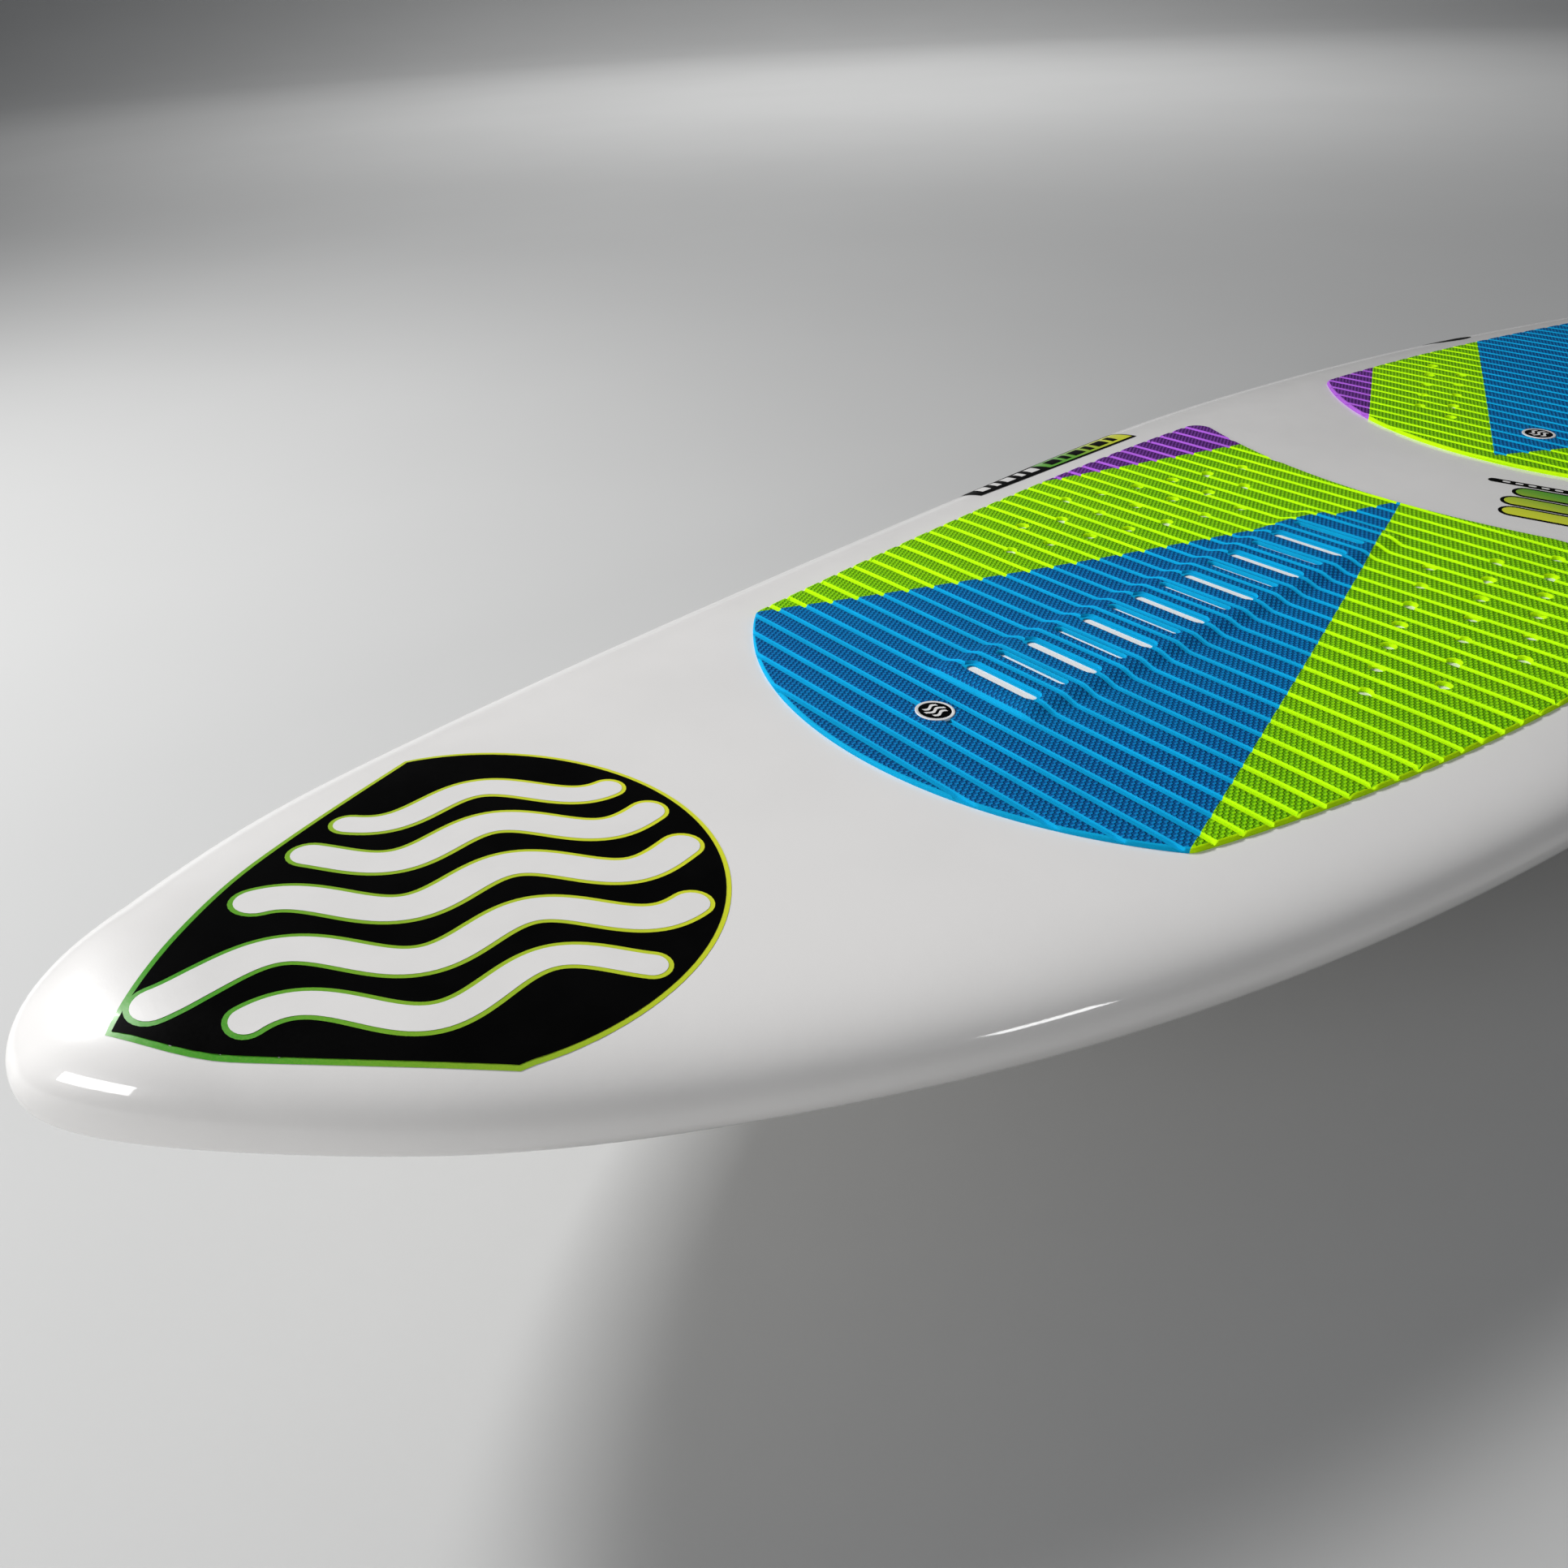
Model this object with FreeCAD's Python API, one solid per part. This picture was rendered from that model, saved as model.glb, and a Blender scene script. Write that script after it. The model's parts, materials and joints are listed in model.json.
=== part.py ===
import FreeCAD, Part
import math
import os

# Strapless surf-style kiteboard with two foam traction pads and three screwed-in fins.
# Frame: +X to the nose, +Y to the left rail, +Z up. The origin is midway along the length, on the
# centre line, level with the fin tips. Millimetres. Heights are worked out first from a level plane
# that touches the deck midway along, and every piece is lifted by the fins' reach at the end.

# ---- driving dimensions -------------------------------------------------------------------------
LENGTH = 1560.0
NOSE_X = LENGTH / 2
TAIL_X = -LENGTH / 2

# Plan outline: distance back from the nose tip, half width there.
OUTLINE = (
    (10, 26), (50, 63.5), (101, 99.3), (180, 136.5), (280, 171), (403, 201.5), (540, 224.5),
    (690, 240.5), (840, 250), (990, 243.5), (1220, 210), (1380, 166), (1500, 122), (1560, 96),
)
# Centre line: x, deck height, drop from deck to rail, depth from rail to bottom.
CENTRE_LINE = (
    (780, 74.5, 36, 9), (730, 62.7, 31, 11), (640, 44.6, 26.5, 14), (500, 23.8, 24.5, 18),
    (300, 7.1, 23.5, 22), (80, 0.9, 24, 24), (-120, 0, 25, 24), (-320, -1.5, 25, 22),
    (-500, -3.5, 22, 17), (-660, -4, 17, 12), (-780, -2.5, 12, 8),
)
NOSE_ROUND = 60.0          # length over which the thickness closes at the nose
TAIL_ROUND = 20.0          # the same at the tail
TAIL_CORNER = 32.0         # length over which the tail block's corners round off
TAIL_CORNER_POWER = 2.6
DECK_ROLL = 22.0           # half width per unit of the deck curve's exponent: smaller is boxier
BOTTOM_ROLL = 14.0
LEAST_POWER = 3.0          # of the section's curve, where the board is narrow
SKIN = 1.5
THINNEST = 0.3
STRINGER_THICK = 4.0
STIFFENER_THICK = 5.0
# Stiff layers under the rider's feet: back end, front end, half width.
STIFFENERS = {
    "front_deck_stiffener": (-30.0, 350.0, 125.0),
    "rear_deck_stiffener": (-600.0, -240.0, 100.0),
}

PAD_THICK = 2.5
PAD_CORNER = 12.0          # radius of a pad's corners
# Left half of a pad: nose corner, a point on the side, tail corner. Then where its curved front and
# rear edges cross the centre line.
FRONT_PAD = ((378.0, 147.0), (144.0, 184.5), (-91.0, 190.0))
FRONT_PAD_ENDS = (438.0, -43.7)
REAR_PAD = ((-252.0, 181.0), (-440.0, 157.0), (-688.0, 88.0))
REAR_PAD_ENDS = (-161.3, -697.0)
# The centre colour's wedge: its apex on the centre line and a point on its left edge.
FRONT_WEDGE = (-46.0, (500.0, 187.6))
REAR_WEDGE = (-170.0, (-740.0, 313.5))
# A triangle around the outer corner colour on the left side.
FRONT_CORNER_CUT = ((250.0, 238.0), (-150.0, 110.0), (-150.0, 260.0))
REAR_CORNER_CUT = ((-100.0, 57.2), (-400.0, 223.6), (-100.0, 223.6))
BAR_HEIGHT = 3.0           # of the white foam bar under the front pad, which lifts it into an arch bar
BAR_HALF_WIDTH = 34.0
BAR_FRONT, BAR_REAR = 350.0, 9.0
BAR_WALL = 3.0             # pad foam left round the white bar
SLOT_COUNT, SLOT_PITCH, SLOT_FIRST_X = 14, 22.63, 334.7
SLOT_LENGTH, SLOT_WIDTHS = 46.0, (6.5, 5.0)     # wide and narrow slots take turns
DRAIN_HOLE_R = 3.7
VENT_STEP = (-27.1, -9.0)
FRONT_VENTS = ((200.4, 118.7, 7), (165.1, 140.6, 7), (109.1, 153.4, 6))     # first x, y, count
REAR_VENT_STEP = (-27.4, 12.1)
REAR_VENTS = ((-228.5, 62.7, 5), (-238.6, 93.0, 5))
FRONT_BADGE_X, FRONT_BADGE_R = 380.7, 9.8
REAR_BADGE_X, REAR_BADGE_R = -235.3, 11.2
BADGE_THICK, BADGE_PROUD = 1.0, 0.3
KICK_FRONT, KICK_PEAK, KICK_HEIGHT = -618.0, -680.0, 21.0
KICK_HOLLOW = 0.36         # share of the height reached halfway up the ramp
KICK_LIP, KICK_LIP_DROP = 30.0, 4.0

FIN_DEPTH, FIN_BASE, FIN_THICK, FIN_SWEEP = 112.0, 110.0, 7.0, 62.0
FIN_GAP = 0.4              # between the blade's foot and the bottom skin
FIN_STEPS = (0, 0.18, 0.38, 0.58, 0.76, 0.89, 0.965, 0.998)     # depths of its slices, as shares
FIN_TAPER, FIN_TIP_ROUND, FIN_TIP_CHORD = 2.3, 0.62, 5.0
FIN_RAKE, FIN_THINNING, FIN_FULLEST = 1.55, 0.25, 0.12
TAB_LENGTH, TAB_THICK, TAB_DEPTH = 106.0, 5.6, 13.0
TAB_ROOT = 0.5             # how far the tab runs into the blade
SLOT_CLEARANCE = 0.3
BOX_LENGTH, BOX_WIDTH, BOX_DEPTH = 138.0, 17.0, 18.0
BOX_RUN_OUT = 8.0          # how far the box's cutters reach past the bottom skin
SCREW_R, SCREW_LENGTH, SCREW_TILT = 2.4, 9.0, 40.0
SCREW_HOLE_R, SCREW_GAP, SCREW_TIP = 2.5, 0.4, 8.5     # hole, gap to the fin's tab, height of the tip
SCREW_HOLE_BEFORE, SCREW_HOLE_PAST = 14.0, 2.0
KEY_R, KEY_DEPTH = 1.45, 3.0                           # the hexagon socket in the screw
CENTRE_FIN = (-632.0, 0.0, 0.0, 0.0)          # x, y, cant, toe-in
SIDE_FIN = (-438.0, 160.0, 6.0, 2.5)
FIN_SEAT = 40.0            # the rocker's slope under a fin is taken this far each way

LEASH_X = -735.0
CUP_R, CUP_BORE_R, CUP_DEPTH, CUP_FLOOR = 14.5, 11.0, 17.0, 2.5
PIN_R, PIN_DEPTH, PIN_COVER = 2.0, 5.5, 1.0            # cover: cup wall left past each end of the pin
VENT_X, VENT_Y = -722.0, 52.0
VENT_R, VENT_DEPTH, VENT_RECESS_R, VENT_RECESS = 12.0, 14.0, 8.2, 5.0
PLUG_HEAD_R, PLUG_HEAD, PLUG_SHANK_R, PLUG_SHANK = 7.8, 3.0, 4.0, 8.0
PLUG_CLEARANCE = 0.05
COIN_SLOT_LENGTH, COIN_SLOT_WIDTH, COIN_SLOT_DEPTH = 11.0, 1.8, 1.5
ORING_R, ORING_WIRE_R, ORING_GAP = 5.6, 0.85, 0.1

V = FreeCAD.Vector
Z_AXIS = V(0, 0, 1)
FAR = 400.0
MID_CORE = -15.0           # a height inside the core under both pads
DEEP_CORE = -30.0          # a height inside the core under the tail kick
PLUG_RUN_OUT = 20.0        # how far the plugs' cutters reach past the deck
# Stretches of the board, back and front, that a grown or shrunk copy of the hull is made over.
STIFFENER_STRETCH = (TAIL_X + 90, NOSE_X - 200)
PAD_STRETCH = (TAIL_X + 20, NOSE_X - 180)
BAR_STRETCH = (-300.0, 560.0)


# ---- board shape --------------------------------------------------------------------------------
def natural_spline(knots):
    """A smooth curve through (position, value) pairs, as a function of position."""
    xs = [float(k[0]) for k in knots]
    ys = [float(k[1]) for k in knots]
    last = len(xs) - 1
    step = [xs[i + 1] - xs[i] for i in range(last)]
    rise = [(ys[i + 1] - ys[i]) / step[i] for i in range(last)]
    upper, bend = [0.0] * (last + 1), [0.0] * (last + 1)
    for i in range(1, last):
        pivot = 2 * (step[i - 1] + step[i]) - step[i - 1] * upper[i - 1]
        upper[i] = step[i] / pivot
        bend[i] = (6 * (rise[i] - rise[i - 1]) - step[i - 1] * bend[i - 1]) / pivot
    for i in range(last - 1, 0, -1):
        bend[i] -= upper[i] * bend[i + 1]

    def value(x):
        i = max(0, min(last - 1, sum(1 for k in xs[1:-1] if k <= x)))
        left, right = x - xs[i], xs[i + 1] - x
        h = step[i]
        return (
            (bend[i] * right ** 3 + bend[i + 1] * left ** 3) / (6 * h)
            + (ys[i] / h - bend[i] * h / 6) * right
            + (ys[i + 1] / h - bend[i + 1] * h / 6) * left
        )

    return value


def centre_spline(column):
    return natural_spline([(row[0], row[column]) for row in reversed(CENTRE_LINE)])


width_factor = natural_spline([(math.sqrt(d), w / math.sqrt(d)) for d, w in OUTLINE])
deck_line, deck_drop, bottom_depth = (centre_spline(column) for column in (1, 2, 3))


def end_round(gap, reach, power=2.0):
    """Closes a dimension to nothing as the gap to the end goes from reach to 0."""
    if gap >= reach:
        return 1.0
    return (1 - (1 - max(gap, 0.0) / reach) ** power) ** (1 / power)


def half_width(x):
    back = math.sqrt(max(NOSE_X - x, 0.0))
    return back * width_factor(back) * end_round(x - TAIL_X, TAIL_CORNER, TAIL_CORNER_POWER)


def section_sizes(x):
    """Half width, rail height, height of deck over rail and depth of bottom under it."""
    closing = end_round(NOSE_X - x, NOSE_ROUND) * end_round(x - TAIL_X, TAIL_ROUND)
    rail = deck_line(x) - deck_drop(x)
    return half_width(x), rail, deck_drop(x) * closing, bottom_depth(x) * closing


def roll(fraction, half, softness):
    """Height, from 0 at the rail to 1 at the centre line, at a fraction of the half width."""
    return math.sqrt(max(0.0, 1 - fraction ** max(LEAST_POWER, half / softness)))


def deck_height(x, y):
    half, rail, up, _ = section_sizes(x)
    return rail + up * roll(abs(y) / half, half, DECK_ROLL)


def bottom_height(x, y):
    half, rail, _, down = section_sizes(x)
    return rail - down * roll(abs(y) / half, half, BOTTOM_ROLL)


RAIL_ANGLES = (0, 14, 28, 42, 56, 70)
FLAT_FRACTIONS = (0.7, 0.35, 0.0)          # of the half width where the rail's curve ends
NOSE_STATIONS = (0.7, 3, 8, 17, 31, 52, 85, 130, 190, 270, 370, 490, 620)
TAIL_STATIONS = (0.7, 3, 8, 16, 28, 48, 85, 140, 220, 330, 450, 590, 740, 840)
STATIONS = [TAIL_X + d for d in TAIL_STATIONS] + [NOSE_X - d for d in reversed(NOSE_STATIONS)]


def half_curve(half, reach, softness):
    """(y, height) points from the rail to the centre line."""
    power = max(LEAST_POWER, half / softness)
    points = []
    for angle in RAIL_ANGLES:
        sine, cosine = math.sin(math.radians(angle)), math.cos(math.radians(angle))
        points.append((half * cosine ** (2 / power), reach * sine))
    inboard = points[-1][0]
    for fraction in FLAT_FRACTIONS:
        y = inboard * fraction
        points.append((y, reach * math.sqrt(1 - (y / half) ** power)))
    return points


def section_points(x, offset, upper):
    """Half a section, from the left rail over the centre line to the right rail."""
    half, rail, up, down = section_sizes(x)
    softness, reach = (DECK_ROLL, up) if upper else (BOTTOM_ROLL, down)
    side = half_curve(half + offset, max(reach + offset, THINNEST), softness)
    sign = 1 if upper else -1
    far_x = x * (NOSE_X + offset) / NOSE_X
    left = [V(far_x, y, rail + sign * z) for y, z in side]
    right = [V(p.x, -p.y, p.z) for p in reversed(left[:-1])]
    return left + right


def average_parameters(rows):
    """Parameters from 0 to 1, by chord length, averaged over rows of the same number of points."""
    totals = [0.0] * len(rows[0])
    for row in rows:
        runs = [0.0]
        for a, b in zip(row, row[1:]):
            runs.append(runs[-1] + (b - a).Length)
        totals = [t + r / runs[-1] / len(rows) for t, r in zip(totals, runs)]
    return totals


def skin_surface(stations, offset, upper):
    """A smooth surface through the sections at the stations."""
    rows = [section_points(x, offset, upper) for x in stations]
    across = average_parameters(rows)
    poles = []
    for row in rows:
        curve = Part.BSplineCurve()
        curve.interpolate(Points=row, Parameters=across)
        poles.append(curve.getPoles())
    rail_line = [section_points(x, offset, True)[0] for x in stations]
    along = average_parameters([rail_line])
    strands = []
    for column in zip(*poles):
        strand = Part.BSplineCurve()
        strand.interpolate(Points=list(column), Parameters=along)
        strands.append(strand)
    surface = Part.BSplineSurface()
    surface.buildFromPolesMultsKnots(
        [strand.getPoles() for strand in strands],
        curve.getMultiplicities(), strands[0].getMultiplicities(),
        curve.getKnots(), strands[0].getKnots(), False, False, 3, 3,
    )
    return surface


def closed_solid(faces):
    shell = Part.makeShell(faces)
    shell.sewShape()
    solid = Part.Solid(shell)
    if solid.Volume < 0:
        solid.reverse()
    return solid


def hull(offset=0.0, back=TAIL_X, front=NOSE_X):
    """The whole board, or the stretch from back to front, grown outwards by offset."""
    stations = [x for x in STATIONS if back <= x <= front]
    top, bottom = (skin_surface(stations, offset, upper) for upper in (True, False))
    caps = []
    for end in (0.0, 1.0):
        edges = [top.vIso(end).toShape(), bottom.vIso(end).toShape()]
        caps.append(Part.Face(Part.Wire(edges)))
    return closed_solid([top.toShape(), bottom.toShape()] + caps)


def skin(upper):
    """The deck or bottom skin: an outer and an inner surface, closed along the rails and the ends."""
    outer, inner = (skin_surface(STATIONS, offset, upper) for offset in (0.0, -SKIN))
    faces = [outer.toShape(), inner.toShape()]
    for end in (0.0, 1.0):
        faces.append(Part.makeRuledSurface(outer.uIso(end).toShape(), inner.uIso(end).toShape()))
        faces.append(Part.makeRuledSurface(outer.vIso(end).toShape(), inner.vIso(end).toShape()))
    return closed_solid(faces)


# ---- small helpers ------------------------------------------------------------------------------
def prism(edges):
    """An upright prism from inside the core to well above the deck."""
    face = Part.Face(Part.Wire(edges))
    face.translate(V(0, 0, MID_CORE))
    return face.extrude(V(0, 0, FAR))


def polygon_prism(corners):
    points = [V(x, y, 0) for x, y in corners]
    return prism([Part.makeLine(a, b) for a, b in zip(points, points[1:] + points[:1])])


def arc(a, middle, b):
    return Part.Arc(V(*a, 0), V(*middle, 0), V(*b, 0)).toShape()


def mirrored(shape):
    return shape.mirror(V(0, 0, 0), V(0, 1, 0))


def cylinder(x, y, low, high, radius):
    return Part.makeCylinder(radius, high - low, V(x, y, low), Z_AXIS)


def capsule(length, width, low, high):
    """An upright prism with round ends, centred on Z, its length along X."""
    straight = (length - width) / 2
    body = Part.makeBox(2 * straight, width, high - low, V(-straight, -width / 2, low))
    ends = [cylinder(side * straight, 0, low, high, width / 2) for side in (-1, 1)]
    return body.fuse(ends).removeSplitter()


def solid_of(shape):
    """The single solid of a boolean result, or a compound of its solids."""
    return shape.Solids[0] if len(shape.Solids) == 1 else Part.makeCompound(shape.Solids)


# ---- core, stringer and skins -------------------------------------------------------------------
def stiffener_zones():
    """Upright boxes that reach from inside the core to above the deck."""
    return {
        name: Part.makeBox(front - back, 2 * half, FAR, V(back, -half, MID_CORE))
        for name, (back, front, half) in STIFFENERS.items()
    }


def build_core(inner, pockets):
    """Skins, foam halves, stringer and the two stiff layers under the pads."""
    parts = {
        "deck_skin": skin(True).cut(pockets["deck"]),
        "bottom_skin": skin(False).cut(pockets["bottom"]),
    }
    lower = hull(-SKIN - STIFFENER_THICK, *STIFFENER_STRETCH)
    layer = inner.cut(lower)
    core = inner
    for name, zone in stiffener_zones().items():
        parts[name] = layer.common(zone)
        core = core.cut(parts[name])
    core = core.cut(pockets["deck"]).cut(pockets["bottom"])
    half_slab = STRINGER_THICK / 2
    slab = Part.makeBox(2 * LENGTH, STRINGER_THICK, 2 * FAR, V(-LENGTH, -half_slab, -FAR))
    left = Part.makeBox(2 * LENGTH, FAR, 2 * FAR, V(-LENGTH, half_slab, -FAR))
    right = Part.makeBox(2 * LENGTH, FAR, 2 * FAR, V(-LENGTH, -half_slab - FAR, -FAR))
    parts["stringer"] = core.common(slab)
    parts["foam_core_left"] = core.common(left)
    parts["foam_core_right"] = core.common(right)
    return parts


# ---- traction pads ------------------------------------------------------------------------------
def pad_outline(left_points, ends):
    """An upright prism on a pad's outline: four arcs, with rounded corners."""
    nose_corner, side, tail_corner = left_points
    nose_mirror, side_mirror, tail_mirror = ((x, -y) for x, y in left_points)
    nose_end, tail_end = ((x, 0.0) for x in ends)
    body = prism([
        arc(nose_mirror, nose_end, nose_corner),
        arc(nose_corner, side, tail_corner),
        arc(tail_corner, tail_end, tail_mirror),
        arc(tail_mirror, side_mirror, nose_mirror),
    ])
    upright = [e for e in body.Edges if e.BoundBox.ZLength > FAR - 1]
    return body.makeFillet(PAD_CORNER, upright)


def wedge_prism(apex_x, left_point):
    x, y = left_point
    return polygon_prism([(apex_x, 0.0), (x, y), (x, -y)])


def vent_holes(rows, step):
    """Upright cutters for the slanting rows of drain holes on the left side."""
    cutters = []
    for first_x, first_y, count in rows:
        for i in range(count):
            cutters.append(cylinder(first_x + i * step[0], first_y + i * step[1], -FAR, FAR, DRAIN_HOLE_R))
    return cutters


def colour_zones(outline, wedge, corner):
    """The outline split into the centre wedge, the left middle and the left outer corner."""
    left_half = Part.makeBox(2 * LENGTH, FAR, 2 * FAR, V(-LENGTH, 0, -FAR))
    centre = outline.common(wedge)
    side = outline.cut(wedge).common(left_half)
    return centre, side.cut(corner), side.common(corner)


def bar_box(inset):
    """An upright box on the arch bar's plan, made smaller all round by inset."""
    length, half = BAR_FRONT - BAR_REAR - 2 * inset, BAR_HALF_WIDTH - inset
    return Part.makeBox(length, 2 * half, FAR, V(BAR_REAR + inset, -half, MID_CORE))


def build_front_pad(board, layer):
    """The front pad's five pieces, and the white bar under the centre and the inner ends of the sides."""
    outline = pad_outline(FRONT_PAD, FRONT_PAD_ENDS)
    wedge, corner = wedge_prism(*FRONT_WEDGE), polygon_prism(FRONT_CORNER_CUT)
    bar_zone = bar_box(0.0)
    bar = hull(BAR_HEIGHT, *BAR_STRETCH).cut(board).common(bar_box(BAR_WALL))
    over_bar = hull(BAR_HEIGHT + PAD_THICK, *BAR_STRETCH).cut(board).common(bar_zone).cut(bar)
    pad = layer.common(outline).cut(bar_zone).fuse(over_bar).removeSplitter()
    centre, middle, outer = (pad.common(zone) for zone in colour_zones(outline, wedge, corner))
    slots = []
    for i in range(SLOT_COUNT):
        slot = capsule(SLOT_LENGTH, SLOT_WIDTHS[i % 2], -FAR, FAR)
        slot.rotate(V(0, 0, 0), Z_AXIS, 90)
        slot.translate(V(SLOT_FIRST_X - i * SLOT_PITCH, 0, 0))
        slots.append(slot)
    middle = middle.cut(vent_holes(FRONT_VENTS, VENT_STEP))
    return {
        "front_arch_bar": bar,
        "front_pad_centre": centre.cut(slots),
        "front_pad_side_left": middle,
        "front_pad_side_right": mirrored(middle),
        "front_pad_corner_left": outer,
        "front_pad_corner_right": mirrored(outer),
    }


def build_rear_pad(board, layer):
    outline = pad_outline(REAR_PAD, REAR_PAD_ENDS)
    wedge, corner = wedge_prism(*REAR_WEDGE), polygon_prism(REAR_CORNER_CUT)
    ahead = Part.makeBox(LENGTH, 2 * FAR, 2 * FAR, V(KICK_FRONT, -FAR, -FAR))
    zones = colour_zones(outline, wedge, corner)
    centre, middle, outer = (layer.common(zone.common(ahead)) for zone in zones)
    foot = deck_line(KICK_FRONT) + PAD_THICK
    peak = deck_line(KICK_PEAK) + PAD_THICK + KICK_HEIGHT
    ramp = Part.Arc(
        V(KICK_FRONT, -FAR, foot),
        V((KICK_FRONT + KICK_PEAK) / 2, -FAR, foot + KICK_HOLLOW * (peak - foot)),
        V(KICK_PEAK, -FAR, peak),
    ).toShape()
    corners = [
        V(KICK_PEAK, -FAR, peak), V(KICK_PEAK - KICK_LIP, -FAR, peak - KICK_LIP_DROP),
        V(KICK_PEAK - KICK_LIP, -FAR, DEEP_CORE), V(KICK_FRONT, -FAR, DEEP_CORE),
        V(KICK_FRONT, -FAR, foot),
    ]
    edges = [ramp] + [Part.makeLine(a, b) for a, b in zip(corners, corners[1:])]
    side_view = Part.Face(Part.Wire(edges)).extrude(V(0, 2 * FAR, 0))
    middle = middle.cut(vent_holes(REAR_VENTS, REAR_VENT_STEP))
    return {
        "rear_pad_centre": centre,
        "rear_pad_side_left": middle,
        "rear_pad_side_right": mirrored(middle),
        "rear_pad_corner_left": outer,
        "rear_pad_corner_right": mirrored(outer),
        "rear_tail_kick": side_view.common(outline).cut(board),
    }


def badge(x, radius):
    """A thin round badge let into the top of a pad."""
    top = deck_height(x, 0) + PAD_THICK
    return cylinder(x, 0, top - BADGE_THICK, top + BADGE_PROUD, radius)


# ---- fins ---------------------------------------------------------------------------------------
def blade_section(depth):
    """A lens-shaped slice of the blade, at a depth under the board."""
    reach = depth / FIN_DEPTH
    chord = FIN_BASE * (1 - reach ** FIN_TAPER) ** FIN_TIP_ROUND + FIN_TIP_CHORD * reach
    thick = FIN_THICK * chord / FIN_BASE * (1 - FIN_THINNING * reach)
    middle = -FIN_SWEEP * reach ** FIN_RAKE
    front, back = V(middle + chord / 2, 0, -depth), V(middle - chord / 2, 0, -depth)
    fullest = middle + FIN_FULLEST * chord
    sides = [Part.Arc(front, V(fullest, y, -depth), back).toShape() for y in (thick / 2, -thick / 2)]
    return Part.Wire(sides)


def fin_shape():
    """Blade and tab in the fin's own frame, with Z into the board."""
    slices = [blade_section(FIN_GAP + (FIN_DEPTH - FIN_GAP) * step) for step in FIN_STEPS]
    blade = Part.makeLoft(slices, True, False)
    root = FIN_GAP + TAB_ROOT
    tab = Part.makeBox(TAB_LENGTH, TAB_THICK, TAB_DEPTH + root, V(-TAB_LENGTH / 2, -TAB_THICK / 2, -root))
    return blade.fuse(tab).removeSplitter()


def screw_axis():
    """Where the grub screw starts at the bottom skin, and its direction into the box."""
    tilt = math.radians(SCREW_TILT)
    direction = V(-math.sin(tilt), 0, math.cos(tilt))
    tip = V(TAB_LENGTH / 2 + SCREW_GAP + SCREW_R * math.cos(tilt), 0, SCREW_TIP)
    return tip - direction * SCREW_LENGTH, direction


def fin_box_shapes():
    """Pocket for the box, the box, and its grub screw, in the fin's own frame."""
    pocket = capsule(BOX_LENGTH, BOX_WIDTH, -BOX_RUN_OUT, BOX_DEPTH)
    length, width = (size + 2 * SLOT_CLEARANCE for size in (TAB_LENGTH, TAB_THICK))
    height = TAB_DEPTH + SLOT_CLEARANCE + BOX_RUN_OUT
    slot = Part.makeBox(length, width, height, V(-length / 2, -width / 2, -BOX_RUN_OUT))
    start, direction = screw_axis()
    hole_length = SCREW_HOLE_BEFORE + SCREW_LENGTH + SCREW_HOLE_PAST
    hole_start = start - direction * SCREW_HOLE_BEFORE
    hole = Part.makeCylinder(SCREW_HOLE_R, hole_length, hole_start, direction)
    screw = Part.makeCylinder(SCREW_R, SCREW_LENGTH, start, direction)
    angles = [math.radians(a) for a in range(0, 361, 60)]
    hexagon = [V(KEY_R * math.cos(a), KEY_R * math.sin(a), 0) for a in angles]
    socket = Part.Face(Part.makePolygon(hexagon)).extrude(V(0, 0, KEY_DEPTH))
    socket.Placement = FreeCAD.Placement(start, FreeCAD.Rotation(Z_AXIS, direction))
    return pocket, pocket.cut(slot).cut(hole), screw.cut(socket)


def fin_placement(x, y, cant, toe):
    """Stands the fin's own frame on the bottom skin, square to the rocker, canted and toed in."""
    slope = (bottom_height(x + FIN_SEAT, y) - bottom_height(x - FIN_SEAT, y)) / (2 * FIN_SEAT)
    turn = FreeCAD.Rotation(V(0, 1, 0), -math.degrees(math.atan(slope)))
    lean = FreeCAD.Rotation(V(1, 0, 0), cant)
    swing = FreeCAD.Rotation(Z_AXIS, -toe)
    return FreeCAD.Placement(V(x, y, bottom_height(x, y)), turn.multiply(swing).multiply(lean))


def build_fins(board):
    """Fins, boxes and grub screws, with the pockets that they need in the board."""
    pocket, box, screw = fin_box_shapes()
    fin = fin_shape()
    x, y, cant, toe = SIDE_FIN
    stands = {
        "centre": fin_placement(*CENTRE_FIN),
        "left": fin_placement(x, y, cant, toe),
        "right": fin_placement(x, -y, -cant, -toe),
    }
    parts, pockets = {}, []
    for name, stand in stands.items():
        placed = []
        for shape in (pocket, box, screw, fin):
            copy = shape.copy()
            copy.Placement = stand.multiply(copy.Placement)
            placed.append(copy)
        pockets.append(placed[0])
        parts[f"fin_box_{name}"] = placed[1].common(board)
        parts[f"fin_screw_{name}"] = placed[2]
        parts[f"fin_{name}"] = placed[3]
    return parts, pockets, stands


# ---- leash plug and vent ------------------------------------------------------------------------
def build_leash_plug(board):
    top = deck_height(LEASH_X, 0)
    pocket = cylinder(LEASH_X, 0, top - CUP_DEPTH, top + PLUG_RUN_OUT, CUP_R)
    bore = cylinder(LEASH_X, 0, top - CUP_DEPTH + CUP_FLOOR, top + PLUG_RUN_OUT, CUP_BORE_R)
    reach = CUP_R - PIN_COVER
    pin = Part.makeCylinder(PIN_R, 2 * reach, V(LEASH_X, -reach, top - PIN_DEPTH), V(0, 1, 0))
    cup = pocket.cut(bore).common(board).cut(pin)
    return {"leash_cup": cup, "leash_pin": pin}, pocket


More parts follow.
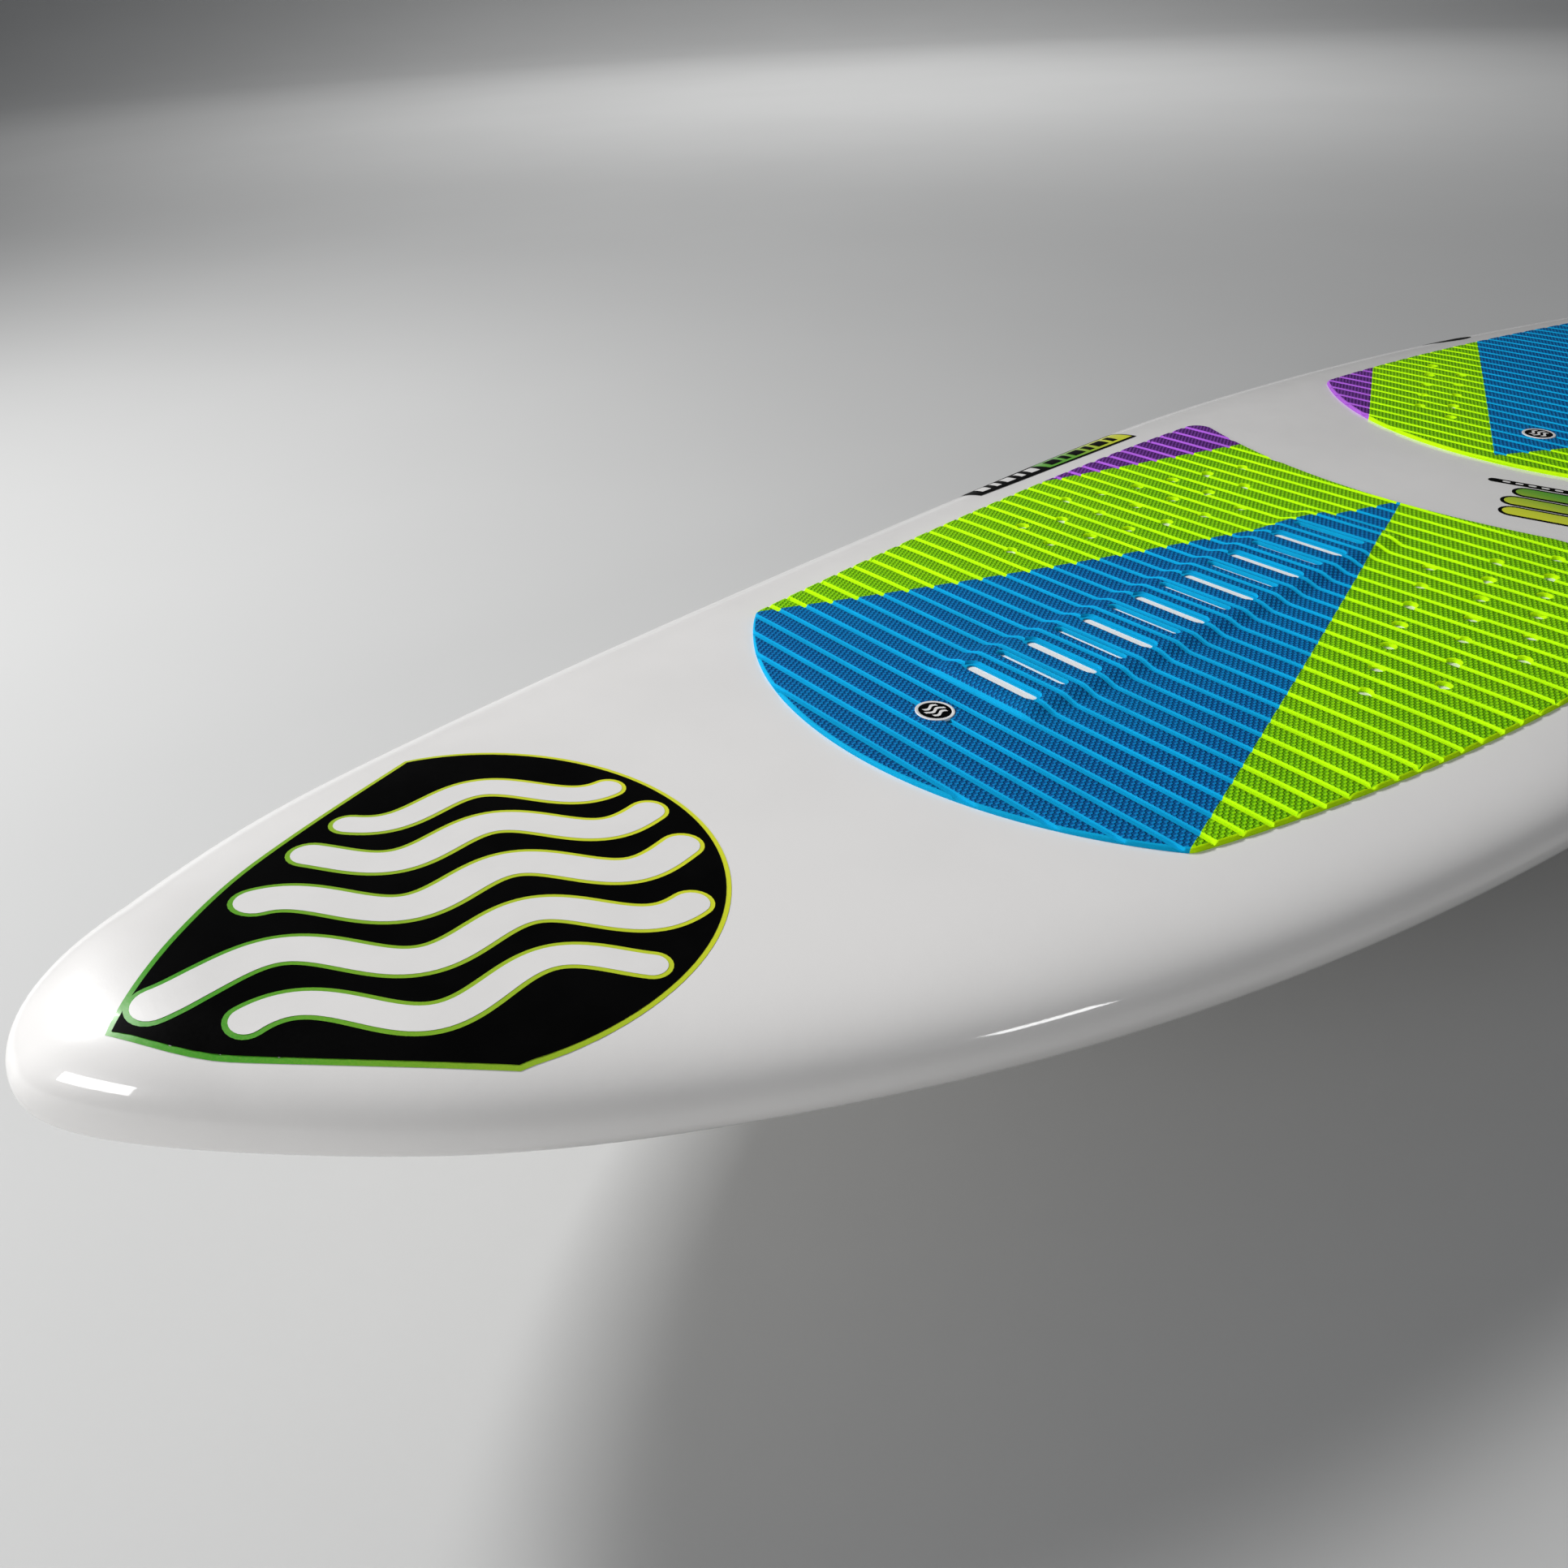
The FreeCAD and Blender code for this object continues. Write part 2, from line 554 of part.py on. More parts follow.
def build_vent(board):
    top = deck_height(VENT_X, VENT_Y)
    pocket = cylinder(VENT_X, VENT_Y, top - VENT_DEPTH, top + PLUG_RUN_OUT, VENT_R)
    recess = cylinder(VENT_X, VENT_Y, top - VENT_RECESS, top + PLUG_RUN_OUT, VENT_RECESS_R)
    bore = cylinder(VENT_X, VENT_Y, top - VENT_DEPTH - 1, top, PLUG_SHANK_R + PLUG_CLEARANCE)
    ring_height = top - VENT_RECESS + ORING_GAP + ORING_WIRE_R
    head_low = ring_height + ORING_WIRE_R
    head = cylinder(VENT_X, VENT_Y, head_low, head_low + PLUG_HEAD, PLUG_HEAD_R)
    shank = cylinder(VENT_X, VENT_Y, head_low - PLUG_SHANK, head_low + 1, PLUG_SHANK_R)
    slot_corner = V(
        VENT_X - COIN_SLOT_LENGTH / 2, VENT_Y - COIN_SLOT_WIDTH / 2, head_low + PLUG_HEAD - COIN_SLOT_DEPTH,
    )
    coin_slot = Part.makeBox(COIN_SLOT_LENGTH, COIN_SLOT_WIDTH, PLUG_HEAD, slot_corner)
    ring = Part.makeTorus(ORING_R, ORING_WIRE_R, V(VENT_X, VENT_Y, ring_height), Z_AXIS)
    parts = {
        "vent_body": pocket.cut(recess).cut(bore).common(board),
        "vent_plug": head.fuse(shank).removeSplitter().cut(coin_slot),
        "vent_oring": ring,
    }
    return parts, pocket


# ---- assembly -----------------------------------------------------------------------------------
def assemble():
    board, inner = hull(), hull(-SKIN)
    fins, fin_pockets, stands = build_fins(board)
    leash, leash_pocket = build_leash_plug(board)
    vent, vent_pocket = build_vent(board)
    pockets = {
        "deck": Part.makeCompound([leash_pocket, vent_pocket]),
        "bottom": Part.makeCompound(fin_pockets),
    }
    parts = build_core(inner, pockets)
    layer = hull(PAD_THICK, *PAD_STRETCH).cut(board)
    parts |= build_front_pad(board, layer) | build_rear_pad(board, layer)
    for name, pad, x, radius in (
        ("front_badge", "front_pad_centre", FRONT_BADGE_X, FRONT_BADGE_R),
        ("rear_badge", "rear_pad_centre", REAR_BADGE_X, REAR_BADGE_R),
    ):
        parts[name] = badge(x, radius)
        parts[pad] = parts[pad].cut(parts[name])
    parts |= fins | leash | vent
    return parts, stands


def lowest(shape):
    return min(point.z for point in shape.tessellate(0.02)[0])


def main():
    os.makedirs("parts", exist_ok=True)
    parts, stands = assemble()
    lift = V(0, 0, -min(lowest(parts["fin_left"]), lowest(parts["fin_centre"])))
    for name, shape in parts.items():
        piece = solid_of(shape)
        piece.translate(lift)
        piece.exportStep(f"parts/{name}.step")
        print(f"{name}: {len(piece.Solids)} solid, {piece.Volume / 1000:.1f} cm3, valid {piece.isValid()}")
    print("deck plane height", round(lift.z, 3))
    print("leash cup top", deck_height(LEASH_X, 0) + lift.z)
    print("vent top", deck_height(VENT_X, VENT_Y) + lift.z)
    for name, stand in stands.items():
        start, direction = screw_axis()
        turn = stand.Rotation
        print(name, "fin axis", turn.multVec(V(0, 0, -1)), "at", stand.Base + lift)
        print(name, "screw axis", turn.multVec(direction), "at", stand.multVec(start) + lift)


main()
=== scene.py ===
import json
import math

import bpy
import numpy as np
from mathutils import Matrix, Vector
from mathutils.geometry import delaunay_2d_cdt


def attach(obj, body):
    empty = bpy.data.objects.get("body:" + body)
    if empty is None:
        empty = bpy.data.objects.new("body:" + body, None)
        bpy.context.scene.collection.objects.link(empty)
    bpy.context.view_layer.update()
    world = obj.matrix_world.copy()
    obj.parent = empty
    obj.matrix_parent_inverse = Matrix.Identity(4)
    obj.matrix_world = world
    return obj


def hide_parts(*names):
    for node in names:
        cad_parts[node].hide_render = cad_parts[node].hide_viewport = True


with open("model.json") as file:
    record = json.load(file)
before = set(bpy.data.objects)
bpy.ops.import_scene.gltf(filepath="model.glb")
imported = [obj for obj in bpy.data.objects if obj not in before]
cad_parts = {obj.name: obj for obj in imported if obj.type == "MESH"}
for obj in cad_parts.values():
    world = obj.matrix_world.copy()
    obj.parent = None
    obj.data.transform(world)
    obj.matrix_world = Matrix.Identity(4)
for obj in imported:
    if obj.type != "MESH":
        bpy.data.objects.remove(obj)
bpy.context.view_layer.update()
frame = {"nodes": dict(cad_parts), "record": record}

# The kiteboard's looks. Shapes are worked out in millimetres, with heights from the level plane that
# touches the deck midway along, and are turned into metres and lifted when a mesh is made.
MM = 0.001
DECK_PLANE = next(m["pos_m"][2] for m in frame["record"]["mounts"] if m["name"] == "deck_middle") / MM

# ---- board shape: the same numbers as the CAD ----
NOSE_X, TAIL_X = 780.0, -780.0
OUTLINE = (
    (10, 26), (50, 63.5), (101, 99.3), (180, 136.5), (280, 171), (403, 201.5), (540, 224.5),
    (690, 240.5), (840, 250), (990, 243.5), (1220, 210), (1380, 166), (1500, 122), (1560, 96),
)
CENTRE_LINE = (
    (780, 74.5, 36, 9), (730, 62.7, 31, 11), (640, 44.6, 26.5, 14), (500, 23.8, 24.5, 18),
    (300, 7.1, 23.5, 22), (80, 0.9, 24, 24), (-120, 0, 25, 24), (-320, -1.5, 25, 22),
    (-500, -3.5, 22, 17), (-660, -4, 17, 12), (-780, -2.5, 12, 8),
)
NOSE_ROUND, TAIL_ROUND, TAIL_CORNER, CORNER_POWER = 60.0, 20.0, 32.0, 2.6
DECK_ROLL, BOTTOM_ROLL = 22.0, 14.0

# ---- pads ----
PAD_THICK, PAD_CORNER = 2.5, 12.0
GROOVE_X, GROOVE_PITCH, GROOVE_DEPTH = 366.7, 15.09, 1.6
GROOVE_FLOOR, GROOVE_TOP = 1.35, 1.95  # half widths of a groove's floor and of its mouth
LAND_ROUND, LIP_SHARE = 0.35, 0.12  # rounding of a land's edge, and its share of the depth
LAND_LINES = 2.6  # extra lines of points, this far from the middle of a land
EDGE_WIDTH, EDGE_DROP = 1.6, 1.1  # bevel round a pad
EDGE_LINES, OUTSIDE = (0.4, 1.2, EDGE_WIDTH), 1.5  # lines of points on it, and how far others run past it
RIM_WIDTH, RIM_DROP = 0.6, 0.4  # bevel round a slot or hole
ROUTED_EDGE, ROUTED_SLOPE = 0.8, 0.45  # cut faces: share of the edge bevel, and the arch's steeper slopes
PAD_SINK = 0.2  # how far a pad's underside sits in the lacquer
BAR_HEIGHT, BAR_TOP, BAR_FOOT = 3.0, 27.0, 38.5  # arch bar: height, half widths of top and foot
BAR_FRONT, BAR_REAR, BAR_RAMP = 354.0, 5.0, 10.0
WHITE_FRONT, WHITE_REAR, WHITE_HALF_WIDTH = 347.0, 12.0, 31.0  # the white foam bar inside it
SLOT_COUNT, SLOT_PITCH, SLOT_FIRST_X = 14, 22.63, 334.7
SLOT_LENGTH, SLOT_WIDTHS = 46.0, (6.5, 5.0)  # wide and narrow slots take turns
RECESS_MARGIN, RECESS_WALL = 2.3, 0.35  # routed as deep as a groove, round each wide slot
HOLE_R = 3.7
# Drain holes: each row's first place and its count, and the step to the next hole.
FRONT_HOLES, FRONT_STEP = ((200.4, 118.7, 7), (165.1, 140.6, 7), (109.1, 153.4, 6)), (-27.1, -9.0)
REAR_HOLES, REAR_STEP = ((-228.5, 62.7, 5), (-238.6, 93.0, 5)), (-27.4, 12.1)
FRONT_CORNERS = ((378.0, 147.0), (144.0, 184.5), (-91.0, 190.0))  # nose corner, side, tail corner
FRONT_MIDDLES = (438.0, -43.7)  # where its edge crosses the centre line
REAR_CORNERS = ((-252.0, 181.0), (-440.0, 157.0), (-688.0, 88.0))
REAR_MIDDLES = (-161.3, -697.0)
FRONT_WEDGE = ((-46.0, 0.0), (500.0, 187.6), (500.0, -187.6))  # triangle that the blue centre fills
FRONT_OUTER = ((250.0, 238.0), (-150.0, 110.0), (-150.0, 260.0))  # and the left purple corner
FRONT_SEAM_ENDS, REAR_SEAM_FRONT = (-60.0, -30.0), -150.0  # seams on the centre line, at a wedge's tip
REAR_WEDGE = ((-170.0, 0.0), (-740.0, 313.5), (-740.0, -313.5))
REAR_OUTER = ((-100.0, 57.2), (-400.0, 223.6), (-100.0, 223.6))
KICK_FRONT, KICK_PEAK, KICK_HEIGHT, KICK_LIP = -618.0, -680.0, 21.0, 4.0
KICK_BOW = 0.56  # how hollow the kick's ramp is
LIP_FRONT, LIP_RUN = 4.0, 24.0  # where the lip starts before the peak, and its length
PAD_REACH = 200.0  # more than half of any pad's width
COARSE, FINE, KICK_STEP = 6.0, 1.6, 4.0  # steps between a pad's points: across the board, and up the kick
ARC_STEP, CORNER_STEP = 2.6, 0.8  # the same round its outline

WHITE_DECK = (0.80, 0.785, 0.77)
BLUE, LIME, PURPLE = "blue", "lime", "purple"
# painted shade and light: each recess colour is painted shade between the embossed studs, each top colour
# the stud tops painted lighter as if lit
FOAM_COLOURS = {  # recess, top and cut face
    BLUE: ((0.001, 0.078, 0.265), (0.001, 0.215, 0.540), (0.001, 0.365, 0.660)),
    LIME: ((0.120, 0.400, 0.001), (0.290, 0.740, 0.001), (0.540, 0.960, 0.001)),
    PURPLE: ((0.070, 0.014, 0.140), (0.190, 0.050, 0.340), (0.420, 0.120, 0.660)),
}


def natural_spline(knots):
    """A smooth curve through (position, value) pairs, as a function of an array of positions."""
    xs, ys = np.array(sorted(knots), float).T
    last = len(xs) - 1
    step, rise = np.diff(xs), np.diff(ys) / np.diff(xs)
    matrix, right = np.eye(last + 1), np.zeros(last + 1)
    for i in range(1, last):
        matrix[i, i - 1:i + 2] = step[i - 1], 2 * (step[i - 1] + step[i]), step[i]
        right[i] = 6 * (rise[i] - rise[i - 1])
    bend = np.linalg.solve(matrix, right)

    def value(x):
        x = np.asarray(x, float)
        i = np.clip(np.searchsorted(xs, x, side="right") - 1, 0, last - 1)
        before, after, h = x - xs[i], xs[i + 1] - x, step[i]
        return (
            (bend[i] * after ** 3 + bend[i + 1] * before ** 3) / (6 * h)
            + (ys[i] / h - bend[i] * h / 6) * after
            + (ys[i + 1] / h - bend[i + 1] * h / 6) * before
        )

    return value


width_factor = natural_spline([(math.sqrt(d), w / math.sqrt(d)) for d, w in OUTLINE])
deck_line, deck_drop, bottom_depth = (
    natural_spline([(row[0], row[column]) for row in CENTRE_LINE]) for column in (1, 2, 3)
)


def end_round(gap, reach, power=2.0):
    """Closes a dimension to nothing as the gap to the end goes from reach to 0."""
    share = np.clip(np.asarray(gap, float) / reach, 0, 1)
    return (1 - (1 - share) ** power) ** (1 / power)


def half_width(x):
    back = np.sqrt(np.maximum(NOSE_X - np.asarray(x, float), 1e-9))
    return back * width_factor(back) * end_round(x - TAIL_X, TAIL_CORNER, CORNER_POWER)


def section_sizes(x):
    """Half width, rail height, height of deck over rail and depth of bottom under it."""
    closing = end_round(NOSE_X - x, NOSE_ROUND) * end_round(x - TAIL_X, TAIL_ROUND)
    return half_width(x), deck_line(x) - deck_drop(x), deck_drop(x) * closing, bottom_depth(x) * closing


def roll(share, half, softness):
    """Height, from 0 at the rail to 1 at the centre line, at a share of the half width."""
    return np.sqrt(np.maximum(0.0, 1 - np.abs(share) ** np.maximum(3.0, half / softness)))


def deck_height(x, y):
    half, rail, up, _ = section_sizes(x)
    return rail + up * roll(y / half, half, DECK_ROLL)


def bottom_height(x, y):
    half, rail, _, down = section_sizes(x)
    return rail - down * roll(y / half, half, BOTTOM_ROLL)


# ---- meshes ----
def add_object(name, data):
    made = bpy.data.objects.new(name, data)
    bpy.context.scene.collection.objects.link(made)
    return made


CREASE = 38.0  # degrees between faces that makes an edge a sharp one


def make_piece(name, points, faces, materials, face_slots=None, sharp=CREASE, lift=DECK_PLANE):
    """A smooth-shaded mesh object from millimetre points, its sharper edges kept crisp."""
    mesh = bpy.data.meshes.new(name)
    metres = (np.asarray(points, float) + (0, 0, lift)) * MM
    mesh.from_pydata(metres.tolist(), [], [list(map(int, f)) for f in faces])
    for material in materials:
        mesh.materials.append(material)
    if face_slots is not None:
        mesh.polygons.foreach_set("material_index", np.asarray(face_slots, np.int32))
    mesh.update()
    mesh.shade_smooth()
    mesh.set_sharp_from_angle(angle=math.radians(sharp))
    return add_object(name, mesh)


def cut_with(piece, cutters):
    """Cuts pockets into a piece and removes the cutters."""
    for cutter in cutters:
        modifier = piece.modifiers.new("pocket", "BOOLEAN")
        modifier.operation, modifier.object, modifier.solver = "DIFFERENCE", cutter, "EXACT"
    bpy.context.view_layer.update()
    result = bpy.data.meshes.new_from_object(piece.evaluated_get(bpy.context.evaluated_depsgraph_get()))
    piece.modifiers.clear()
    piece.data = result
    for cutter in cutters:
        bpy.data.objects.remove(cutter)
    piece.data.set_sharp_from_angle(angle=math.radians(CREASE))


def grid_faces(rows, count):
    """Quads between closed rows of points, count to a row."""
    quads = []
    for row in range(0, (rows - 1) * count, count):
        for a in range(count):
            b = (a + 1) % count
            quads.append((row + a, row + b, row + count + b, row + count + a))
    return quads


def closed_rows(rows):
    """Points and faces of a tube of rows with both ends capped."""
    count = len(rows[0])
    last = (len(rows) - 1) * count
    caps = [tuple(range(count - 1, -1, -1)), tuple(range(last, last + count))]
    return np.vstack(rows), grid_faces(len(rows), count) + caps


def inside(points, loop):
    """Which points lie inside a closed loop, by the even-odd rule."""
    x, y = points[:, 0], points[:, 1]
    result = np.zeros(len(points), bool)
    for (ax, ay), (bx, by) in zip(loop, np.roll(loop, -1, axis=0)):
        if ay != by:
            crosses = (ay > y) != (by > y)
            result ^= crosses & (x < (bx - ax) * (y - ay) / (by - ay) + ax)
    return result


def inside_any(points, loops):
    return np.any([np.zeros(len(points), bool)] + [inside(points, loop) for loop in loops], axis=0)


def distance_to(points, loop):
    """Distance from each point to a closed loop."""
    best = np.full(len(points), 1e9)
    for a, b in zip(loop, np.roll(loop, -1, axis=0)):
        run = b - a
        share = np.clip(((points - a) @ run) / (run @ run), 0, 1)
        best = np.minimum(best, np.linalg.norm(points - a - share[:, None] * run, axis=1))
    return best


def distance_to_holes(points, holes):
    """Distance from each point to the nearest hole's edge, or a large number far from any hole."""
    best = np.full(len(points), 1e9)
    for hole in holes:
        near = np.linalg.norm(points - hole.mean(axis=0), axis=1) < SLOT_LENGTH
        best[near] = np.minimum(best[near], distance_to(points[near], hole))
    return best


def turned(points, angle):
    """Points turned about the origin."""
    c, s = math.cos(angle), math.sin(angle)
    return points @ np.array(((c, s), (-s, c)))


def triangulate(loops, lines):
    """Triangles over the plane whose edges follow every closed loop and open line."""
    points, edges = [], []
    for run, closed in [(loop, True) for loop in loops] + [(line, False) for line in lines]:
        first, count = len(points), len(run)
        points.extend(Vector(p) for p in run)
        edges.extend((first + i, first + i + 1) for i in range(count - 1))
        if closed:
            edges.append((first + count - 1, first))
    found = delaunay_2d_cdt(points, edges, [], 0, 1e-4)
    return np.array([tuple(p) for p in found[0]]), np.array([f for f in found[2] if len(f) == 3])


# ---- outlines ----
def on_circle(angles):
    """Points of the unit circle."""
    return np.column_stack((np.cos(angles), np.sin(angles)))


def circle_through(a, b, c):
    """Centre and radius of the circle through three points."""
    (ax, ay), (bx, by), (cx, cy) = a, b, c
    twice = 2 * (ax * (by - cy) + bx * (cy - ay) + cx * (ay - by))
    a2, b2, c2 = ax * ax + ay * ay, bx * bx + by * by, cx * cx + cy * cy
    centre = np.array((
        (a2 * (by - cy) + b2 * (cy - ay) + c2 * (ay - by)) / twice,
        (a2 * (cx - bx) + b2 * (ax - cx) + c2 * (bx - ax)) / twice,
    ))
    return centre, math.hypot(ax - centre[0], ay - centre[1])


def circles_cross(centre_a, radius_a, centre_b, radius_b, near):
    """Where two circles cross, nearest to a point."""
    gap = centre_b - centre_a
    length = np.linalg.norm(gap)
    along = (length ** 2 + radius_a ** 2 - radius_b ** 2) / (2 * length)
    across = math.sqrt(radius_a ** 2 - along ** 2)
    unit = gap / length
    side = np.array((-unit[1], unit[0]))
    options = [centre_a + along * unit + sign * across * side for sign in (1, -1)]
    return min(options, key=lambda p: np.linalg.norm(p - near))


def arc_points(centre, start, end, spacing):
    """Points along the shorter arc, without its end."""
    first, last = start - centre, end - centre
    turn = math.atan2(first[0] * last[1] - first[1] * last[0], first @ last)
    count = max(4, math.ceil(abs(turn) * np.linalg.norm(first) / spacing))
    angles = math.atan2(first[1], first[0]) + turn * np.arange(count) / count
    return centre + np.linalg.norm(first) * on_circle(angles)


def pad_outline(corners, middles):
    """A pad's outline: four arcs with rounded corners."""
    (nx, ny), (sx, sy), (tx, ty) = corners
    arcs = [
        ((nx, -ny), (middles[0], 0.0), (nx, ny)), ((nx, ny), (sx, sy), (tx, ty)),
        ((tx, ty), (middles[1], 0.0), (tx, -ty)), ((tx, -ty), (sx, -sy), (nx, -ny)),
    ]
    circles = []
    for arc in arcs:
        centre, radius = circle_through(*arc)
        within = np.linalg.norm(centre - (sx, 0.0)) < radius
        circles.append((centre, radius, radius - PAD_CORNER if within else radius + PAD_CORNER))
    rounds = []  # each corner's centre, and where it meets the arcs before and after it
    for arc, before, after in zip(arcs, circles, circles[1:] + circles[:1]):
        pivot = circles_cross(before[0], before[2], after[0], after[2], np.array(arc[2]))
        away = [(pivot - centre) / np.linalg.norm(pivot - centre) for centre, _, _ in (before, after)]
        rounds.append((pivot, before[0] + away[0] * before[1], after[0] + away[1] * after[1]))
    pieces = []
    for circle, last, this in zip(circles, rounds[-1:] + rounds, rounds):
        pieces += [arc_points(circle[0], last[2], this[1], ARC_STEP), arc_points(*this, CORNER_STEP)]
    return np.vstack(pieces)


def normals(tangents):
    """Unit vectors, to the left of each tangent."""
    return np.column_stack((-tangents[:, 1], tangents[:, 0])) / np.linalg.norm(tangents, axis=1)[:, None]


def inset(loop, distance):
    """The loop moved inwards. Negative moves it out."""
    x, y = loop.T
    area = np.sum(x * np.roll(y, -1) - np.roll(x, -1) * y)
    inwards = normals(np.roll(loop, -1, axis=0) - np.roll(loop, 1, axis=0))
    return loop + inwards * distance * (1 if area > 0 else -1)


def capsule_loop(centre, length, width, turn=0.0, steps=9):
    """A stadium outline, its length along Y before it is turned."""
    straight, radius = (length - width) / 2, width / 2
    cap = on_circle(np.linspace(0, math.pi, steps)) * radius
    return turned(np.vstack((cap + (0, straight), -cap - (0, straight))), turn) + centre


def circle_loop(centre, radius, count=20):
    return on_circle(np.arange(count) * 2 * math.pi / count) * radius + centre


def both_sides(loops):
    return loops + [loop * (1, -1) for loop in loops]


# ---- materials ----
class Nodes:
    """A short way to write a material's nodes."""

    def __init__(self, name):
        self.material = bpy.data.materials.new(name)
        self.material.use_nodes = True
        self.tree = self.material.node_tree
        self.shader = self.tree.nodes["Principled BSDF"]
        self.place = self.add("ShaderNodeTexCoord").outputs["Object"]

    def add(self, kind, inputs=(), **settings):
        node = self.tree.nodes.new(kind)
        for key, value in settings.items():
            setattr(node, key, value)
        for key, value in dict(inputs).items():
            self.put(node.inputs[key], value)
        return node

    def put(self, socket, value):
        if isinstance(value, bpy.types.NodeSocket):
            self.tree.links.new(value, socket)
        elif isinstance(value, tuple) and len(value) == 3 and socket.type == "RGBA":
            socket.default_value = (*value, 1.0)
        else:
            socket.default_value = value

    def set(self, **values):
        for key, value in values.items():
            self.put(self.shader.inputs[key.replace("_", " ")], value)

    def math(self, operation, a, b=0.0, c=0.0):
        return self.add("ShaderNodeMath", {0: a, 1: b, 2: c}, operation=operation).outputs[0]

    def noise(self, scale, detail=3.0, roughness=0.5, place=None):
        inputs = {"Vector": place or self.place, "Scale": scale, "Detail": detail, "Roughness": roughness}
        return self.add("ShaderNodeTexNoise", inputs).outputs["Fac"]

    def rough(self, texture, low, high):
        """Makes the roughness follow a texture."""
        self.set(Roughness=self.between(texture, 0.2, 0.8, low, high))

    def between(self, value, low, high, to_low=0.0, to_high=1.0):
        inputs = {0: value, 1: low, 2: high, 3: to_low, 4: to_high}
        return self.add("ShaderNodeMapRange", inputs, interpolation_type="SMOOTHSTEP").outputs[0]

    def mix(self, share, a, b):
        return self.add("ShaderNodeMix", {0: share, 6: a, 7: b}, data_type="RGBA").outputs[2]

    def axes(self):
        return self.add("ShaderNodeSeparateXYZ", {0: self.place}).outputs

    def stretched(self, scales):
        return self.add("ShaderNodeMapping", {"Vector": self.place, "Scale": scales}).outputs[0]

    def bump(self, height, distance, strength=1.0):
        inputs = {"Height": height, "Distance": distance, "Strength": strength}
        self.put(self.shader.inputs["Normal"], self.add("ShaderNodeBump", inputs).outputs["Normal"])

    def tinted(self, colour, amount, scale):
        """The colour, a little darker and lighter in soft patches."""
        dark = tuple(c * (1 - amount) for c in colour)
        light = tuple(min(1.0, c * (1 + amount)) for c in colour)
        return self.mix(self.between(self.noise(scale), 0.3, 0.7), dark, light)


def laminate_material():
    """White lacquered glass and epoxy: satin paint with faint orange peel under a clear coat."""
    n = Nodes("white_lacquer")
    n.set(Base_Color=n.tinted(WHITE_DECK, 0.018, 9.0))
    n.rough(n.noise(60), 0.30, 0.40)
    n.set(Coat_Weight=0.8, Coat_Roughness=0.045, Coat_IOR=1.5, Specular_IOR_Level=0.25)
    peel = n.math("ADD", n.noise(900, 2.0), n.math("MULTIPLY", n.noise(160, 1.0), 1.5))
    n.bump(peel, 0.00006, 0.35)
    return n.material


ROW_PITCH, STUD_PITCH = 2.6, 2.9  # rows of embossed studs across a land, and studs along a row
FOAM_SPECULAR = 0.09


def land_material(name, colours):
    """Embossed foam: staggered rows of small raised studs, painted shade between them, painted light on
    top.
    """
    n = Nodes(name)
    recess, top, cut = colours
    x, y, _ = n.axes()
    along = n.math("SINE", n.math("MULTIPLY", y, 2 * math.pi / (STUD_PITCH * MM)))
    across = n.math("SINE", n.math("MULTIPLY", x, math.pi / (ROW_PITCH * MM)))
    stud_relief_and_light = n.between(n.math("MULTIPLY", along, across), -0.3, 0.6)
    pores = n.noise(2600, 2.0, 0.6)
    worn = n.between(n.noise(14, 4.0), 0.35, 0.75, 0.0, 0.10)
    # painted shade and light: the recess colour is painted shade between the studs, the top colour painted
    # light on them; the same stud pattern also drives the bump
    n.set(Base_Color=n.mix(worn, n.mix(stud_relief_and_light, recess, top), cut), Specular_IOR_Level=FOAM_SPECULAR)
    n.rough(pores, 0.60, 0.80)
    n.bump(n.math("ADD", stud_relief_and_light, n.math("MULTIPLY", pores, 0.2)), 0.0007, 1.0)
    return n.material


def cut_material(name, colours):
    """Smooth routed foam with fine open pores."""
    n = Nodes(name)
    pores = n.noise(3200, 3.0, 0.65)
    pitted = n.between(pores, 0.30, 0.42, 0.25, 0.0)
    n.set(Base_Color=n.mix(pitted, n.tinted(colours[2], 0.07, 25.0), colours[1]))
    n.set(Specular_IOR_Level=FOAM_SPECULAR)
    n.rough(pores, 0.66, 0.86)
    n.bump(pores, 0.00018, 0.7)
    return n.material


def white_foam_material():
    """Plain white closed-cell foam with fine pores."""
    n = Nodes("foam_white_plain")
    pores = n.noise(3000, 3.0, 0.65)
    n.set(Base_Color=n.mix(n.between(pores, 0.30, 0.45), (0.76, 0.76, 0.75), (0.90, 0.90, 0.88)))
    n.set(Specular_IOR_Level=0.2)
    n.rough(pores, 0.66, 0.86)
    n.bump(pores, 0.0002, 0.7)
    return n.material


def ink_material(name, colour, mottling, gloss):
    """Flat ink under the lacquer, with faint print mottle."""
    n = Nodes(name)
    n.set(Base_Color=n.tinted(colour, mottling, 40.0))
    n.rough(n.noise(700, 2.0), 0.34, 0.44)
    n.set(Coat_Weight=gloss, Coat_Roughness=0.12, Specular_IOR_Level=0.5 * gloss)
    n.bump(n.noise(900, 2.0), 0.00005, 0.3)
    return n.material


def fade_material(name, from_x, to_x, start, end):
    """Ink that fades from one colour to another along the board, with a fine printed screen."""
    n = Nodes(name)
    share = n.between(n.axes()[0], from_x * MM, to_x * MM)
    grain = n.between(n.noise(1500, 1.0), 0.3, 0.7, -0.03, 0.03)
    n.set(Base_Color=n.mix(n.math("ADD", share, grain), start, end))
    n.set(Roughness=n.between(grain, -0.03, 0.03, 0.3, 0.36), Coat_Weight=0.6, Coat_Roughness=0.1)
    n.bump(n.noise(900, 2.0), 0.00005, 0.3)
    return n.material


def moulded_material(name, colour, roughness, grain=1400.0):
    """Moulded plastic or rubber with a fine sparked grain."""
    n = Nodes(name)
    texture = n.noise(grain, 3.0, 0.6)
    n.set(Base_Color=n.tinted(colour, 0.15, 30.0))
    n.rough(texture, roughness - 0.06, roughness + 0.1)
    n.bump(texture, 0.00012, 0.6)
    return n.material


